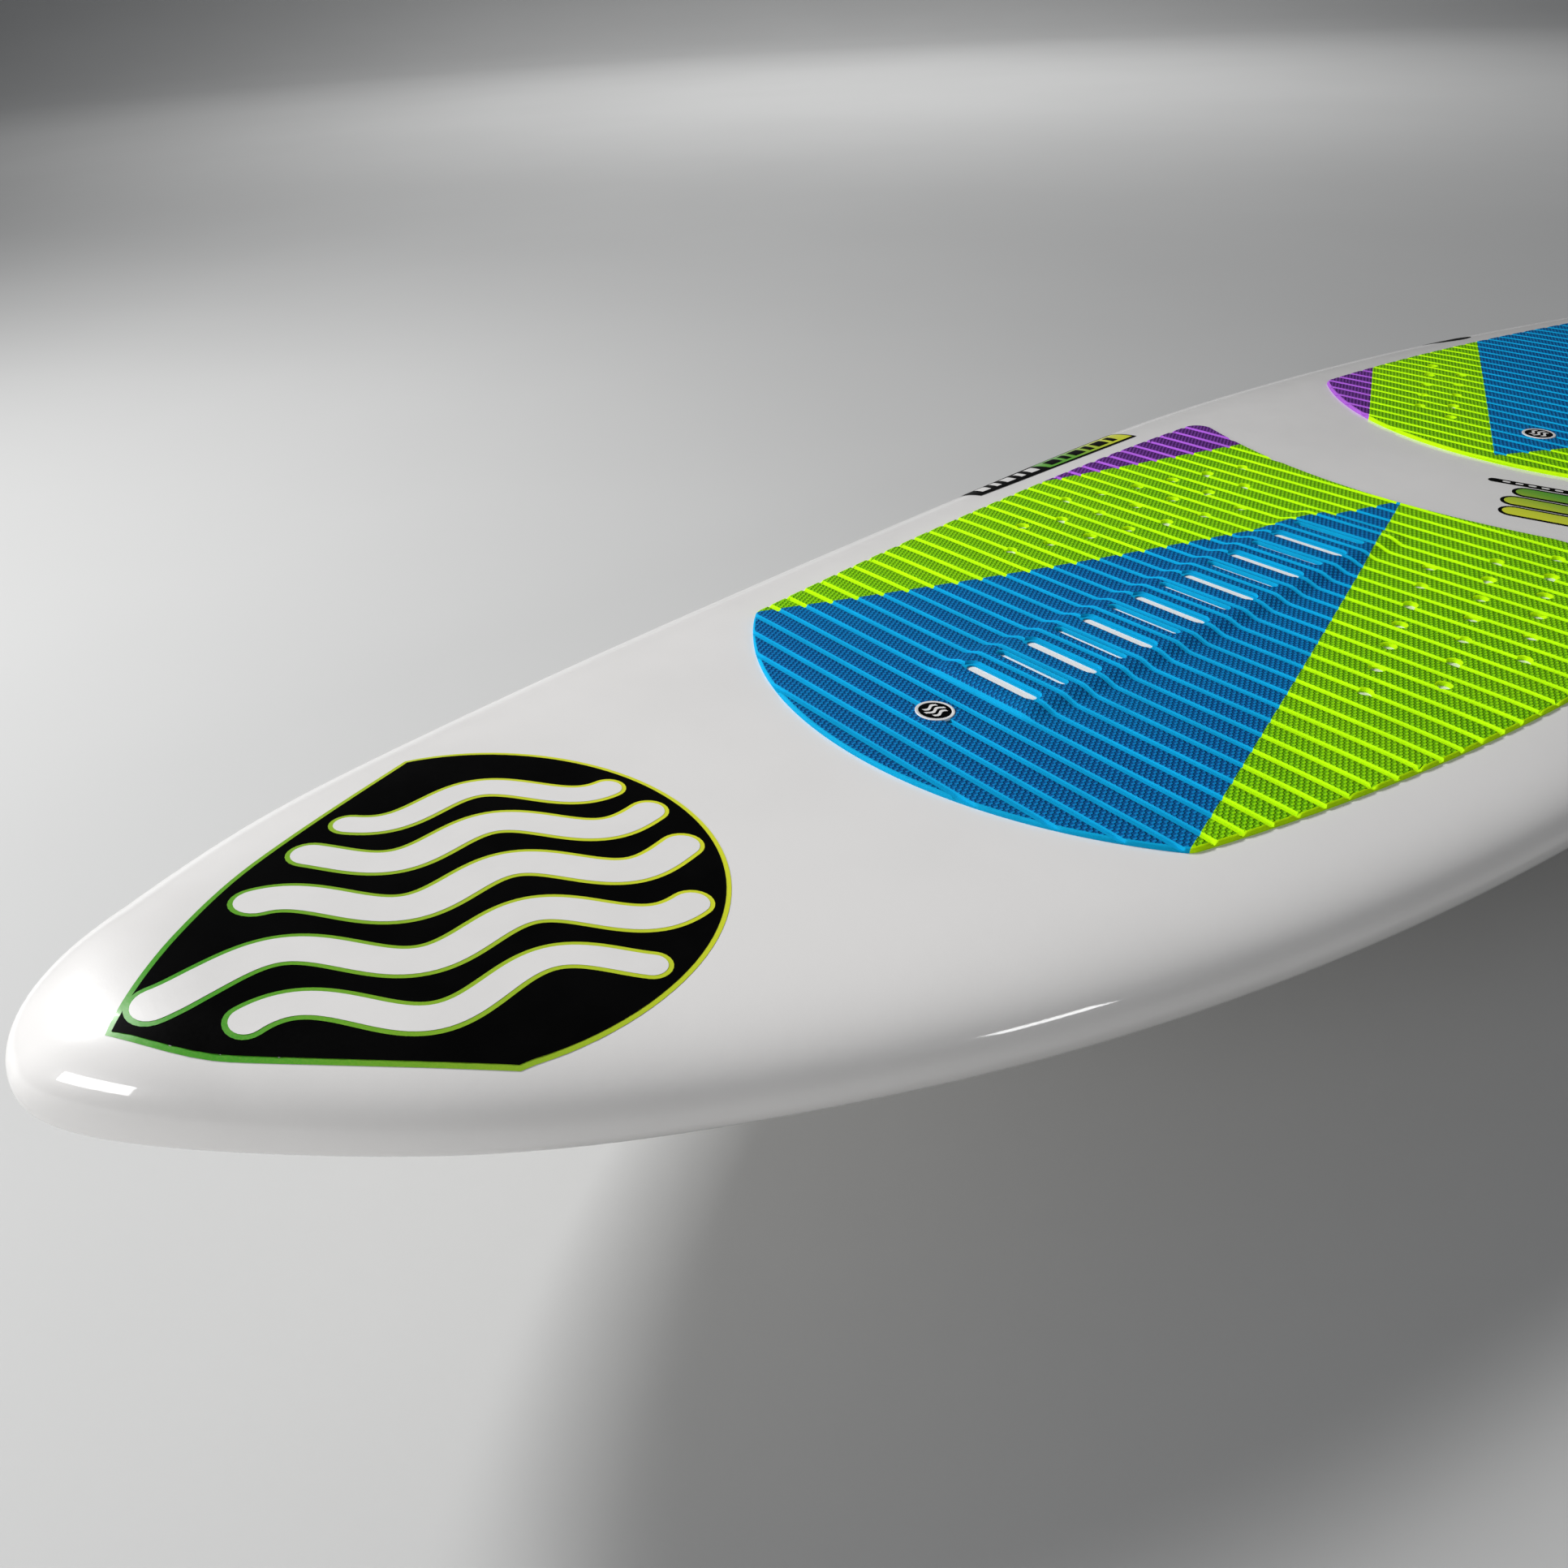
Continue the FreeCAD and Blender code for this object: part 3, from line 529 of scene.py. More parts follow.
def steel_material():
    """Stainless steel, finely turned."""
    n = Nodes("stainless_steel")
    lines = n.noise(1.0, 2.0, 0.5, n.stretched((300.0, 300.0, 9000.0)))
    n.set(Base_Color=n.tinted((0.60, 0.60, 0.58), 0.06, 200.0), Metallic=1.0)
    n.rough(lines, 0.16, 0.34)
    n.bump(lines, 0.00004, 0.5)
    return n.material


TOW_PITCH = 2.0


def weave_material(name, base, tow_highlight):
    """Twill-woven glass or carbon under a clear gloss, with a painted highlight along each tow's crown."""
    n = Nodes(name)
    x, _, z = n.axes()
    u, v = (n.math("DIVIDE", axis, TOW_PITCH * MM) for axis in (x, z))
    checks = n.math("FRACT", n.math("MULTIPLY", n.math("FLOOR", u), 0.25))
    shifted = n.math("ADD", n.math("MULTIPLY", n.math("FLOOR", v), 0.25), checks)
    over = n.math("GREATER_THAN", n.math("FRACT", shifted), 0.45)
    under = n.math("SUBTRACT", 1.0, over)
    crown_u, crown_v = (n.math("SINE", n.math("MULTIPLY", n.math("FRACT", w), math.pi)) for w in (u, v))
    crown = n.math("ADD", n.math("MULTIPLY", over, crown_u), n.math("MULTIPLY", under, crown_v))
    shine = n.math("MULTIPLY", crown, n.between(over, 0, 1, 0.55, 1.0))
    # painted highlight: the colour runs from the base to the highlight colour along each tow's crown,
    # weaker on the tows that lie under
    n.set(Base_Color=n.mix(shine, base, tow_highlight), Roughness=n.between(shine, 0, 1, 0.42, 0.26))
    n.set(Coat_Weight=0.9, Coat_Roughness=0.06)
    n.bump(crown, 0.00008, 0.35)
    return n.material


def wood_material():
    """Birch ply: long soft grain and darker veneer lines."""
    n = Nodes("stringer_ply")
    grain = n.noise(1.0, 6.0, 0.6, n.stretched((6.0, 120.0, 260.0)))
    n.set(Base_Color=n.mix(n.between(grain, 0.35, 0.7), (0.50, 0.34, 0.18), (0.72, 0.56, 0.36)))
    n.set(Roughness=0.55)
    n.bump(grain, 0.0001, 0.5)
    return n.material


def core_material(name, colour, scale):
    """Cut rigid foam: fused beads with dark seams."""
    n = Nodes(name)
    inputs = {"Vector": n.place, "Scale": scale}
    beads = n.add("ShaderNodeTexVoronoi", inputs, feature="DISTANCE_TO_EDGE").outputs[0]
    seam = tuple(c * 0.72 for c in colour)
    n.set(Base_Color=n.mix(n.between(beads, 0.0, 0.12), seam, colour), Roughness=0.85)
    n.bump(n.between(beads, 0.0, 0.3), 0.0004, 0.6)
    return n.material


LANDS = {name: land_material(f"foam_{name}_embossed", colours) for name, colours in FOAM_COLOURS.items()}
CUTS = {name: cut_material(f"foam_{name}_routed", colours) for name, colours in FOAM_COLOURS.items()}
BLACK_INK = ink_material("ink_black", (0.0020, 0.0020, 0.0020), 0.2, 0.02)
WHITE_INK = ink_material("ink_white", WHITE_DECK, 0.015, 0.75)
GREEN, YELLOW = (0.055, 0.330, 0.010), (0.720, 0.760, 0.020)
# the second colour is the painted highlight on the tow crowns
FIN_SKIN = weave_material("fin_twill", (0.004, 0.0045, 0.005), (0.045, 0.048, 0.052))


# ---- board shell ----
PLUG_RUN_OUT = 20.0  # how far the cutters for the deck's plugs stand out of it
BOX_RUN_OUT = 8.0  # the same for the fin boxes
LEASH_X, CUP_R, CUP_DEPTH = -735.0, 14.5, 17.0
VENT_X, VENT_Y, VENT_R, VENT_DEPTH = -722.0, 52.0, 12.0, 14.0
BOX_LENGTH, BOX_WIDTH, BOX_DEPTH = 138.0, 17.0, 18.0
CENTRE_FIN = (-632.0, 0.0, 0.0, 0.0)  # x, y, cant, toe-in
SIDE_FIN = (-438.0, 160.0, 6.0, 2.5)
FIN_SEAT = 40.0  # the rocker's slope under a fin is taken this far each way
END_STATIONS, END_SPREAD, MIDDLE_STATIONS = 24, 0.12, 190


def fin_frame(x, y, cant, toe):
    """The frame a fin stands in: Z into the board, its base on the bottom skin."""
    slope = (bottom_height(x + FIN_SEAT, y) - bottom_height(x - FIN_SEAT, y)) / (2 * FIN_SEAT)
    turn = Matrix.Rotation(-math.atan(slope), 4, "Y") @ Matrix.Rotation(-math.radians(toe), 4, "Z")
    stand = Matrix.Translation((x, y, float(bottom_height(x, y))))
    return stand @ turn @ Matrix.Rotation(math.radians(cant), 4, "X")


FIN_FRAMES = {
    "centre": fin_frame(*CENTRE_FIN),
    "left": fin_frame(*SIDE_FIN),
    "right": fin_frame(SIDE_FIN[0], *(-value for value in SIDE_FIN[1:])),
}


def shell_stations():
    """Places along the board, closer together towards both ends."""
    ends = [END_SPREAD * k * k for k in range(1, END_STATIONS + 1)]
    middle = np.linspace(TAIL_X + ends[-1], NOSE_X - ends[-1], MIDDLE_STATIONS)[1:-1]
    return np.array([TAIL_X + d for d in ends] + list(middle) + [NOSE_X - d for d in reversed(ends)])


def shell_ring(x):
    """A whole section, left rail over the deck to the right rail and back under the bottom."""
    half, rail, up, down = section_sizes(x)
    ring = []
    for reach, softness, sign in ((up, DECK_ROLL, 1), (down, BOTTOM_ROLL, -1)):
        power = max(3.0, float(half) / softness)
        angles = np.radians(np.arange(0, 61, 5))
        rail_y, rail_z = half * np.cos(angles) ** (2 / power), np.sin(angles)
        flat_y = rail_y[-1] * np.linspace(1, 0, 26)[1:]
        flat_z = np.sqrt(1 - (flat_y / half) ** power)
        y, z = np.concatenate((rail_y, flat_y)), np.concatenate((rail_z, flat_z))
        y, z = np.concatenate((y, -y[-2::-1])), np.concatenate((z, z[-2::-1]))
        points = np.column_stack((np.full(len(y), x), y * sign, rail + sign * reach * z))
        ring.append(points[:-1])
    return np.vstack(ring)


def prism_piece(name, loop, low, high, matrix=None):
    """A closed upright prism, in the board's frame or in another frame."""
    points, faces = closed_rows([np.column_stack((loop, np.full(len(loop), z))) for z in (low, high)])
    if matrix is not None:
        points = np.array([matrix @ Vector(p) for p in points])
    return make_piece(name, points, faces, [])


def pocket_cutters():
    """Cutters for the leash cup, the vent and the three fin boxes."""
    cutters = []
    for x, y, radius, depth in ((LEASH_X, 0.0, CUP_R, CUP_DEPTH), (VENT_X, VENT_Y, VENT_R, VENT_DEPTH)):
        top = float(deck_height(x, y))
        loop = circle_loop((x, y), radius, 72)
        cutters.append(prism_piece("plug_cutter", loop, top - depth, top + PLUG_RUN_OUT))
    box_loop = capsule_loop((0.0, 0.0), BOX_LENGTH, BOX_WIDTH, math.pi / 2, 25)
    for matrix in FIN_FRAMES.values():
        cutters.append(prism_piece("box_cutter", box_loop, -BOX_RUN_OUT, BOX_DEPTH, matrix))
    return cutters


def build_shell():
    points, faces = closed_rows([shell_ring(x) for x in shell_stations()])
    piece = make_piece("board_shell", points, faces, [laminate_material()], sharp=50.0)
    cut_with(piece, pocket_cutters())
    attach(piece, "board")
    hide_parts("deck_skin", "bottom_skin")


# ---- fins ----
FIN_DEPTH, FIN_BASE, FIN_THICK, FIN_SWEEP, FIN_GAP = 112.0, 110.0, 7.0, 62.0, 0.4
FIN_TAPER, FIN_TIP_ROUND, FIN_TIP_CHORD = 2.3, 0.62, 5.0
FIN_RAKE, FIN_THINNING = 1.55, 0.25
TAB_LENGTH, TAB_THICK, TAB_DEPTH, TAB_BEVEL, TAB_CORNER = 106.0, 5.6, 13.0, 0.8, 1.2
TAB_ROOT = 0.5  # how far the tab reaches into the blade
FIN_ROWS, FIN_TIP = 44, 0.999  # slices of a blade, and the last one's share of its depth
FOIL = (0.2969, -0.1260, -0.3516, 0.2843, -0.1036)  # of the classic four-digit foils: root, then powers
FOIL_FULLEST = 0.1  # half thickness of that foil, for a thickness of a fifth


def fin_section(depth, steps=30):
    """A slice of the blade: a rounded leading edge, fullest a third of the way back, and a thin tail."""
    reach = depth / FIN_DEPTH
    chord = FIN_BASE * (1 - reach ** FIN_TAPER) ** FIN_TIP_ROUND + FIN_TIP_CHORD * reach
    thick = FIN_THICK * chord / FIN_BASE * (1 - FIN_THINNING * reach)
    angles = np.arange(2 * steps) * math.pi / steps
    share = (1 - np.cos(angles)) / 2
    half = FOIL[0] * np.sqrt(share) + sum(FOIL[power] * share ** power for power in range(1, 5))
    x = -FIN_SWEEP * reach ** FIN_RAKE + chord * (0.5 - share)
    y = np.sign(np.sin(angles)) * half * thick / 2 / FOIL_FULLEST
    return np.column_stack((x, y, np.full(len(x), -depth)))


def tab_ring(height, bevel, steps=5):
    """A level slice of the tab: a long box with rounded corners."""
    length, width, radius = TAB_LENGTH / 2 - bevel, TAB_THICK / 2 - bevel, TAB_CORNER
    points = []
    for x, y, start in ((1, 1, 0.0), (-1, 1, 0.5), (-1, -1, 1.0), (1, -1, 1.5)):
        angles = (start + np.linspace(0, 0.5, steps)) * math.pi
        corner = ((length - radius) * x, (width - radius) * y)
        points.append(on_circle(angles) * radius + corner)
    loop = np.vstack(points)
    return np.column_stack((loop, np.full(len(loop), height)))


def build_fins():
    steps = np.sin(np.linspace(0, math.pi / 2, FIN_ROWS)) * FIN_TIP
    blade, blade_faces = closed_rows([fin_section(FIN_GAP + (FIN_DEPTH - FIN_GAP) * s) for s in steps])
    tab_rows = (
        (-FIN_GAP - TAB_ROOT, 0.0), (TAB_DEPTH - TAB_BEVEL, 0.0),
        (TAB_DEPTH - TAB_BEVEL / 3, TAB_BEVEL / 3), (TAB_DEPTH, TAB_BEVEL),
    )
    tab, tab_faces = closed_rows([tab_ring(*row) for row in tab_rows])
    faces = blade_faces + [tuple(i + len(blade) for i in face) for face in tab_faces]
    for name, matrix in FIN_FRAMES.items():
        points = np.array([matrix @ Vector(p) for p in np.vstack((blade, tab))])
        piece = make_piece(f"fin_{name}_blade", points, faces, [FIN_SKIN], sharp=55.0)
        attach(piece, f"fin_{name}_body")
        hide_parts(f"fin_{name}")


# ---- pads ----
def smooth_step(value):
    value = np.clip(value, 0, 1)
    return value * value * (3 - 2 * value)


def pad_under(x, y):
    """The level over the deck that a pad is glued at, which is the white bar's top where there is one."""
    over = (x > WHITE_REAR) & (x < WHITE_FRONT) & (np.abs(y) < WHITE_HALF_WIDTH)
    return np.where(over, BAR_HEIGHT - PAD_SINK, -PAD_SINK)


def bar_height(x, y):
    """The arch bar, where the white bar lifts the front pad."""
    across = smooth_step((BAR_FOOT - np.abs(y)) / (BAR_FOOT - BAR_TOP))
    along = smooth_step((BAR_FRONT - x) / BAR_RAMP) * smooth_step((x - BAR_REAR) / BAR_RAMP)
    return BAR_HEIGHT * across * along


def kick_height(x, y):
    """The tail kick."""
    share = np.clip((KICK_FRONT - x) / (KICK_FRONT - KICK_PEAK), 0, 1)
    foot, peak = deck_line(KICK_FRONT), deck_line(KICK_PEAK) + KICK_HEIGHT
    ramp = foot + (peak - foot) * (KICK_BOW * share ** 2 + (1 - KICK_BOW) * share)
    lip = KICK_LIP * smooth_step((KICK_PEAK + LIP_FRONT - x) / LIP_RUN)
    return np.where(x < KICK_FRONT, ramp - lip - deck_height(x, y), 0.0)


def pad_rise(x, y):
    return bar_height(x, y) + kick_height(x, y)


def groove_offset(x):
    """Distance to the middle of the nearest groove."""
    return np.abs((x - GROOVE_X + GROOVE_PITCH / 2) % GROOVE_PITCH - GROOVE_PITCH / 2)


def groove_share(x):
    """How deep in a groove a place is, from 0 on a land to 1 on the groove's floor."""
    offset = groove_offset(x)
    wall = np.clip((GROOVE_TOP - offset) / (GROOVE_TOP - GROOVE_FLOOR), 0, 1)
    lip = np.clip((GROOVE_TOP + LAND_ROUND - offset) / LAND_ROUND, 0, 1)
    return LIP_SHARE * lip + (1 - LIP_SHARE) * wall


def groove_lines(low, high):
    """Places along X of every line that the grooves and lands need."""
    land, lip = GROOVE_PITCH / 2, GROOVE_TOP + LAND_ROUND
    steps = (-lip, -GROOVE_TOP, -GROOVE_FLOOR, GROOVE_FLOOR, GROOVE_TOP, lip)
    steps += (land - LAND_LINES, land + LAND_LINES)
    first = math.floor((low - GROOVE_X) / GROOVE_PITCH) - 1
    last = math.ceil((high - GROOVE_X) / GROOVE_PITCH) + 1
    lines = [GROOVE_X + k * GROOVE_PITCH + step for k in range(first, last + 1) for step in steps]
    return [x for x in lines if low < x < high]


def build_pad(
    prefix, outline, wedge, outer, seams, holes, extra_x, y_places,
    recesses=(), tail=-math.inf, steep=math.inf,
):
    """One pad's pieces: a grooved top that follows the deck, bevelled edges, walls and an underside.

    Colours meet at the wedge, the outer triangles and the seams. holes go right through, and recesses are
    as deep as a groove. Slopes above steep show cut foam, and what lies behind tail is the kick."""
    xs = groove_lines(outline[:, 0].min() - 1, outline[:, 0].max() + 1) + list(extra_x)
    margin = inset(outline, -OUTSIDE)
    lines = []
    for x in sorted(xs):
        run = np.column_stack((np.full(len(y_places), x), y_places))
        keep = np.flatnonzero(inside(run, margin))
        if len(keep) < 2:
            continue
        for part in np.split(keep, np.flatnonzero(np.diff(keep) > 1) + 1):
            if len(part) > 1:
                lines.append(run[part])
    loops = [outline] + [inset(outline, distance) for distance in EDGE_LINES]
    for hole in holes:
        loops += [hole, inset(hole, -RIM_WIDTH)]
    for recess in recesses:
        loops += [recess, inset(recess, RECESS_WALL)]
    borders = [wedge[:2], wedge[::2], outer[:2], [(x, -y) for x, y in outer[:2]], *seams]
    points, triangles = triangulate(loops, lines + [np.array(line) for line in borders])
    centres = points[triangles].mean(axis=1)
    kept = inside(centres, outline) & ~inside_any(centres, holes)
    triangles, centres = triangles[kept], centres[kept]

    x, y = points.T
    deck = deck_height(x, y)
    land = deck + PAD_THICK + pad_rise(x, y)
    share = groove_share(x)
    edge = np.clip(distance_to(points, outline) / EDGE_WIDTH, 0, 1)
    bevel = EDGE_DROP * (1 - np.sqrt(np.clip(1 - (1 - edge) ** 2, 0, 1)))
    rim_drop = RIM_DROP * np.clip(1 - distance_to_holes(points, holes) / RIM_WIDTH, 0, 1)
    for recess in recesses:
        within = np.flatnonzero(inside(points, recess))
        depth = np.clip(distance_to(points[within], recess) / RECESS_WALL, 0, 1)
        share[within] = np.maximum(share[within], depth)
    top = land - np.maximum(np.maximum(bevel, rim_drop), GROOVE_DEPTH * share)

    middle_x, middle_y = centres.T
    slope = np.abs(pad_rise(middle_x + 0.5, middle_y) - pad_rise(middle_x - 0.5, middle_y))
    routed = groove_offset(middle_x) < GROOVE_TOP
    routed |= distance_to(centres, outline) < EDGE_WIDTH * ROUTED_EDGE
    routed |= distance_to_holes(centres, holes) < RIM_WIDTH
    routed |= inside_any(centres, recesses) | (slope > steep)

    for name, (colour, chosen) in pad_pieces(prefix, wedge, outer, tail, centres).items():
        used, local = np.unique(triangles[chosen], return_inverse=True)
        local = local.reshape(-1, 3)
        count = len(used)
        high = np.column_stack((points[used], top[used]))
        low = np.column_stack((points[used], (deck + pad_under(x, y))[used]))
        sides = np.vstack((local[:, [0, 1]], local[:, [1, 2]], local[:, [2, 0]]))
        seen = {tuple(side) for side in sides.tolist()}
        walls = [(b, a, a + count, b + count) for a, b in seen if (b, a) not in seen]
        all_faces = local.tolist() + (local[:, ::-1] + count).tolist() + walls
        slots = list(np.where(routed[chosen], 1, 0)) + [1] * (len(local) + len(walls))
        piece = make_piece(name, np.vstack((high, low)), all_faces, [LANDS[colour], CUTS[colour]], slots)
        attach(piece, "board")
        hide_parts(name.replace("_foam", ""))


def hole_loops(rows, step):
    return both_sides([
        circle_loop((x + i * step[0], y + i * step[1]), HOLE_R)
        for x, y, count in rows for i in range(count)
    ])


def mirrored(places):
    """Places across the board from its centre line outwards, and the same on the other side."""
    return np.concatenate((-places[:0:-1], places))


def pad_pieces(prefix, wedge, outer, tail, centres):
    """Each piece's colour, and which triangles of its pad, given by their centres, belong to it."""
    ahead, in_wedge = centres[:, 0] > tail, inside(centres, np.array(wedge))
    found = {f"{prefix}_pad_centre_foam": (BLUE, in_wedge & ahead)}
    for side, sign in (("left", 1), ("right", -1)):
        beside = (centres[:, 1] * sign > 0) & ~in_wedge & ahead
        in_outer = inside(centres, np.array(outer) * (1, sign))
        found[f"{prefix}_pad_side_{side}_foam"] = LIME, beside & ~in_outer
        found[f"{prefix}_pad_corner_{side}_foam"] = PURPLE, beside & in_outer
    if not ahead.all():
        found[f"{prefix}_tail_kick_foam"] = BLUE, ~ahead
    return found


def front_pad():
    centres = [(SLOT_FIRST_X - i * SLOT_PITCH, 0.0) for i in range(SLOT_COUNT)]
    slots = [capsule_loop(centre, SLOT_LENGTH, SLOT_WIDTHS[i % 2]) for i, centre in enumerate(centres)]
    length, width = SLOT_LENGTH + 2 * RECESS_MARGIN, SLOT_WIDTHS[0] + 2 * RECESS_MARGIN
    recesses = [capsule_loop(centre, length, width) for centre in centres[::2]]
    seams = [(FRONT_WEDGE[0], (end, 0.0)) for end in FRONT_SEAM_ENDS]
    ramps = [place + BAR_RAMP * share for place, way in ((BAR_FRONT, -1), (BAR_REAR, 1))
             for share in np.linspace(0, way, 5)]
    places = mirrored(np.concatenate((
        np.arange(0, BAR_TOP - 2, COARSE), np.arange(BAR_TOP - 2, BAR_FOOT + 2, FINE),
        np.arange(BAR_FOOT + 5, PAD_REACH, COARSE),
    )))
    build_pad(
        "front", pad_outline(FRONT_CORNERS, FRONT_MIDDLES), FRONT_WEDGE, FRONT_OUTER, seams,
        slots + hole_loops(FRONT_HOLES, FRONT_STEP), ramps, places,
        recesses=recesses, steep=ROUTED_SLOPE,
    )


def rear_pad():
    seams = [((KICK_FRONT, -PAD_REACH), (KICK_FRONT, PAD_REACH)), ((REAR_SEAM_FRONT, 0.0), REAR_WEDGE[0])]
    ramp = np.arange(KICK_FRONT - 5, KICK_PEAK - 16, -KICK_STEP)
    build_pad(
        "rear", pad_outline(REAR_CORNERS, REAR_MIDDLES), REAR_WEDGE, REAR_OUTER, seams,
        hole_loops(REAR_HOLES, REAR_STEP), ramp, mirrored(np.arange(0, PAD_REACH, COARSE)), tail=KICK_FRONT,
    )


# ---- printed graphics ----
INK_LIFT = 0.12  # each layer of ink over the one below
DOT = 0.01  # a line this short puts one point into a shape


def dense(loop, spacing):
    """The loop with points added along its long edges."""
    points = []
    for a, b in zip(loop, np.roll(loop, -1, axis=0)):
        count = max(1, math.ceil(np.linalg.norm(b - a) / spacing))
        points.append(a + (b - a) * (np.arange(count) / count)[:, None])
    return np.vstack(points)


def decal(name, shapes, material, layer, spacing=5.0, base=deck_height):
    """Flat printed shapes that follow the deck."""
    shapes = [dense(np.array(shape, float), spacing) for shape in shapes]
    whole = np.vstack(shapes)
    low, high = whole.min(axis=0), whole.max(axis=0)
    xs, ys = (np.arange(low[i] + spacing / 2, high[i], spacing) for i in (0, 1))
    grid = np.array([(x, y) for x in xs for y in ys]).reshape(-1, 2)
    lines = [[p, p + (DOT, 0.0)] for p in grid[inside_any(grid, shapes)]]
    points, triangles = triangulate(shapes, lines)
    chosen = inside_any(points[triangles].mean(axis=1), shapes)
    used, local = np.unique(triangles[chosen], return_inverse=True)
    x, y = points[used].T
    solid = np.column_stack((x, y, base(x, y) + INK_LIFT * layer))
    piece = make_piece(name, solid, local.reshape(-1, 3), [material], sharp=60.0)
    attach(piece, "board")


DISC_CENTRE, DISC_R = np.array((627.0, 0.0)), 101.0
EMBLEM_NEAR = ((750.3, 22.4), (733.5, 42.6), (716.7, 56.0), (649.5, 100.8))
EMBLEM_FAR = ((605.9, -98.6), (675.3, -53.8), (694.3, -39.2), (750.3, 22.4))


def emblem_outline():
    """A disc with two trimmed sides that run beside the rails to a point near the nose."""
    sides = []
    for knots, count in ((EMBLEM_NEAR, 24), (EMBLEM_FAR, 30)):
        x = np.linspace(knots[0][0], knots[-1][0], count)[:-1]
        sides.append(np.column_stack((x, natural_spline(knots)(x))))
    start, end = np.array(EMBLEM_NEAR[-1]) - DISC_CENTRE, np.array(EMBLEM_FAR[0]) - DISC_CENTRE
    first, last = math.atan2(start[1], start[0]), math.atan2(end[1], end[0]) + 2 * math.pi
    disc = DISC_CENTRE + DISC_R * on_circle(np.linspace(first, last, 60)[:-1])
    return np.vstack((sides[0], disc, sides[1]))


WAVE_SWING, WAVE_LENGTH, WAVE_TURN, WAVE_REACH = 9.0, 84.0, math.radians(-14), 130
WAVES = ((-56.0, 12.0), (-27.0, 14.0), (5.0, 15.0), (37.0, 14.0), (66.0, 11.0))  # offset and width
WAVE_MARGIN, WAVE_BORDER, EMBLEM_BORDER = 7.0, 1.8, 1.9


def wave_band(emblem, offset, width, border=0.0):
    """A wavy band with round ends, as long as fits inside the emblem, and wider all round by a border."""
    along = np.linspace(-WAVE_REACH, WAVE_REACH, 2 * WAVE_REACH + 1)
    line = np.column_stack((along, offset + WAVE_SWING * np.sin(2 * math.pi * along / WAVE_LENGTH)))
    line = turned(line, WAVE_TURN) + DISC_CENTRE
    fits = np.flatnonzero(inside(line, inset(emblem, width / 2 + WAVE_MARGIN)))
    line = line[fits[0]:fits[-1] + 1:2]
    normal, radius = normals(np.gradient(line, axis=0)), width / 2 + border
    ends = []
    for place, heading in ((line[-1], -normal[-1]), (line[0], normal[0])):
        angles = math.atan2(heading[1], heading[0]) + np.linspace(0, math.pi, 13)[1:-1]
        ends.append(place + radius * on_circle(angles))
    return np.vstack((line - normal * radius, ends[0], (line + normal * radius)[::-1], ends[1]))


def build_emblem():
    fade = fade_material("ink_green_to_yellow", 740.0, 520.0, GREEN, YELLOW)
    emblem = emblem_outline()
    decal("emblem_border", [emblem], fade, 1)
    decal("emblem_black", [inset(emblem, EMBLEM_BORDER)], BLACK_INK, 2)
    decal("emblem_wave_borders", [wave_band(emblem, *wave, WAVE_BORDER) for wave in WAVES], fade, 3, 3.5)
    decal("emblem_waves", [wave_band(emblem, *wave) for wave in WAVES], WHITE_INK, 4, 3.5)


STRIP_FRONT, STRIP_JOIN, STRIP_BACK = 136.0, 60.0, -37.0
STRIP_SKEW = 6.0  # how far a bar's outer end leans to the tail
STRIP_BORDER, BAR_MARGIN = 0.1, 0.24  # of the strip's width
STRIP_EDGE, EDGE_GROWTH = 206.0, 0.015  # how far out its inner edge is at its front, and growth per mm
STRIP_WIDTH, WIDTH_GROWTH = 22.0, 0.018


def strip_block(front, back, low, high, skew=0.0):
    """A block of the strip beside the left rail, low and high being shares of the strip's width."""
    corners = []
    for x, share in ((front, low), (back, low), (back, high), (front, high)):
        run = STRIP_FRONT - x
        edge, width = STRIP_EDGE + EDGE_GROWTH * run, STRIP_WIDTH + WIDTH_GROWTH * run
        corners.append((x - skew * share, edge + share * width))
    return np.array(corners)


def strip_bars(first, last, sizes, gap):
    """Slanting bars between two places, their sizes repeated to fill the room."""
    bars, front, i = [], first, 0
    while front - sizes[i % len(sizes)] >= last:
        back = front - sizes[i % len(sizes)]
        bars.append(strip_block(front, back, BAR_MARGIN, 1 - BAR_MARGIN, STRIP_SKEW))
        front, i = back - gap, i + 1
    return bars


def build_strips():
    fade = fade_material("ink_strip_fade", 40.0, -30.0, (0.10, 0.42, 0.015), YELLOW)
    inner = (STRIP_BORDER, 1 - STRIP_BORDER)
    layers = (
        ("black", [strip_block(STRIP_FRONT, STRIP_BACK, 0.0, 1.0)], BLACK_INK, 3),
        ("bright", [strip_block(STRIP_JOIN, STRIP_BACK + 2, *inner)], fade, 4),
        ("white_bars", strip_bars(STRIP_FRONT - 6, STRIP_JOIN + 4, (9.0, 5.0), 6.0), WHITE_INK, 5),
        ("dark_bars", strip_bars(STRIP_JOIN - 4, STRIP_BACK + 8, (12.0, 6.0), 4.5), BLACK_INK, 5),
    )
    for side, sign in (("left", 1), ("right", -1)):
        for name, shapes, ink, layer in layers:
            decal(f"rail_strip_{name}_{side}", [shape * (1, sign) for shape in shapes], ink, layer, 1.8)


MARK_TURN = math.atan(0.24)  # the middle mark leans with the front pad's rear edge
MARK_BARS = ((-70.0, 64.0, 196.0), (-89.0, 61.0, 188.0), (-108.0, 64.0, 176.0))  # across, start, end
MARK_WIDTH, MARK_BORDER = 18.0, 2.4
RULE_ACROSS, RULE_START, RULE_END, RULE_WIDTH = -122.0, 46.0, 196.0, 7.0
DASH_LENGTH, DASH_WIDTH, DASH_PITCH = 5.0, 2.4, 8.0


def mark_loop(across, start, end, width):
    """A rounded bar of the middle mark, placed along and across the mark's own direction."""
    centre = turned(np.array((across, (start + end) / 2)), MARK_TURN)
    return capsule_loop(centre, end - start, width, MARK_TURN, 13)


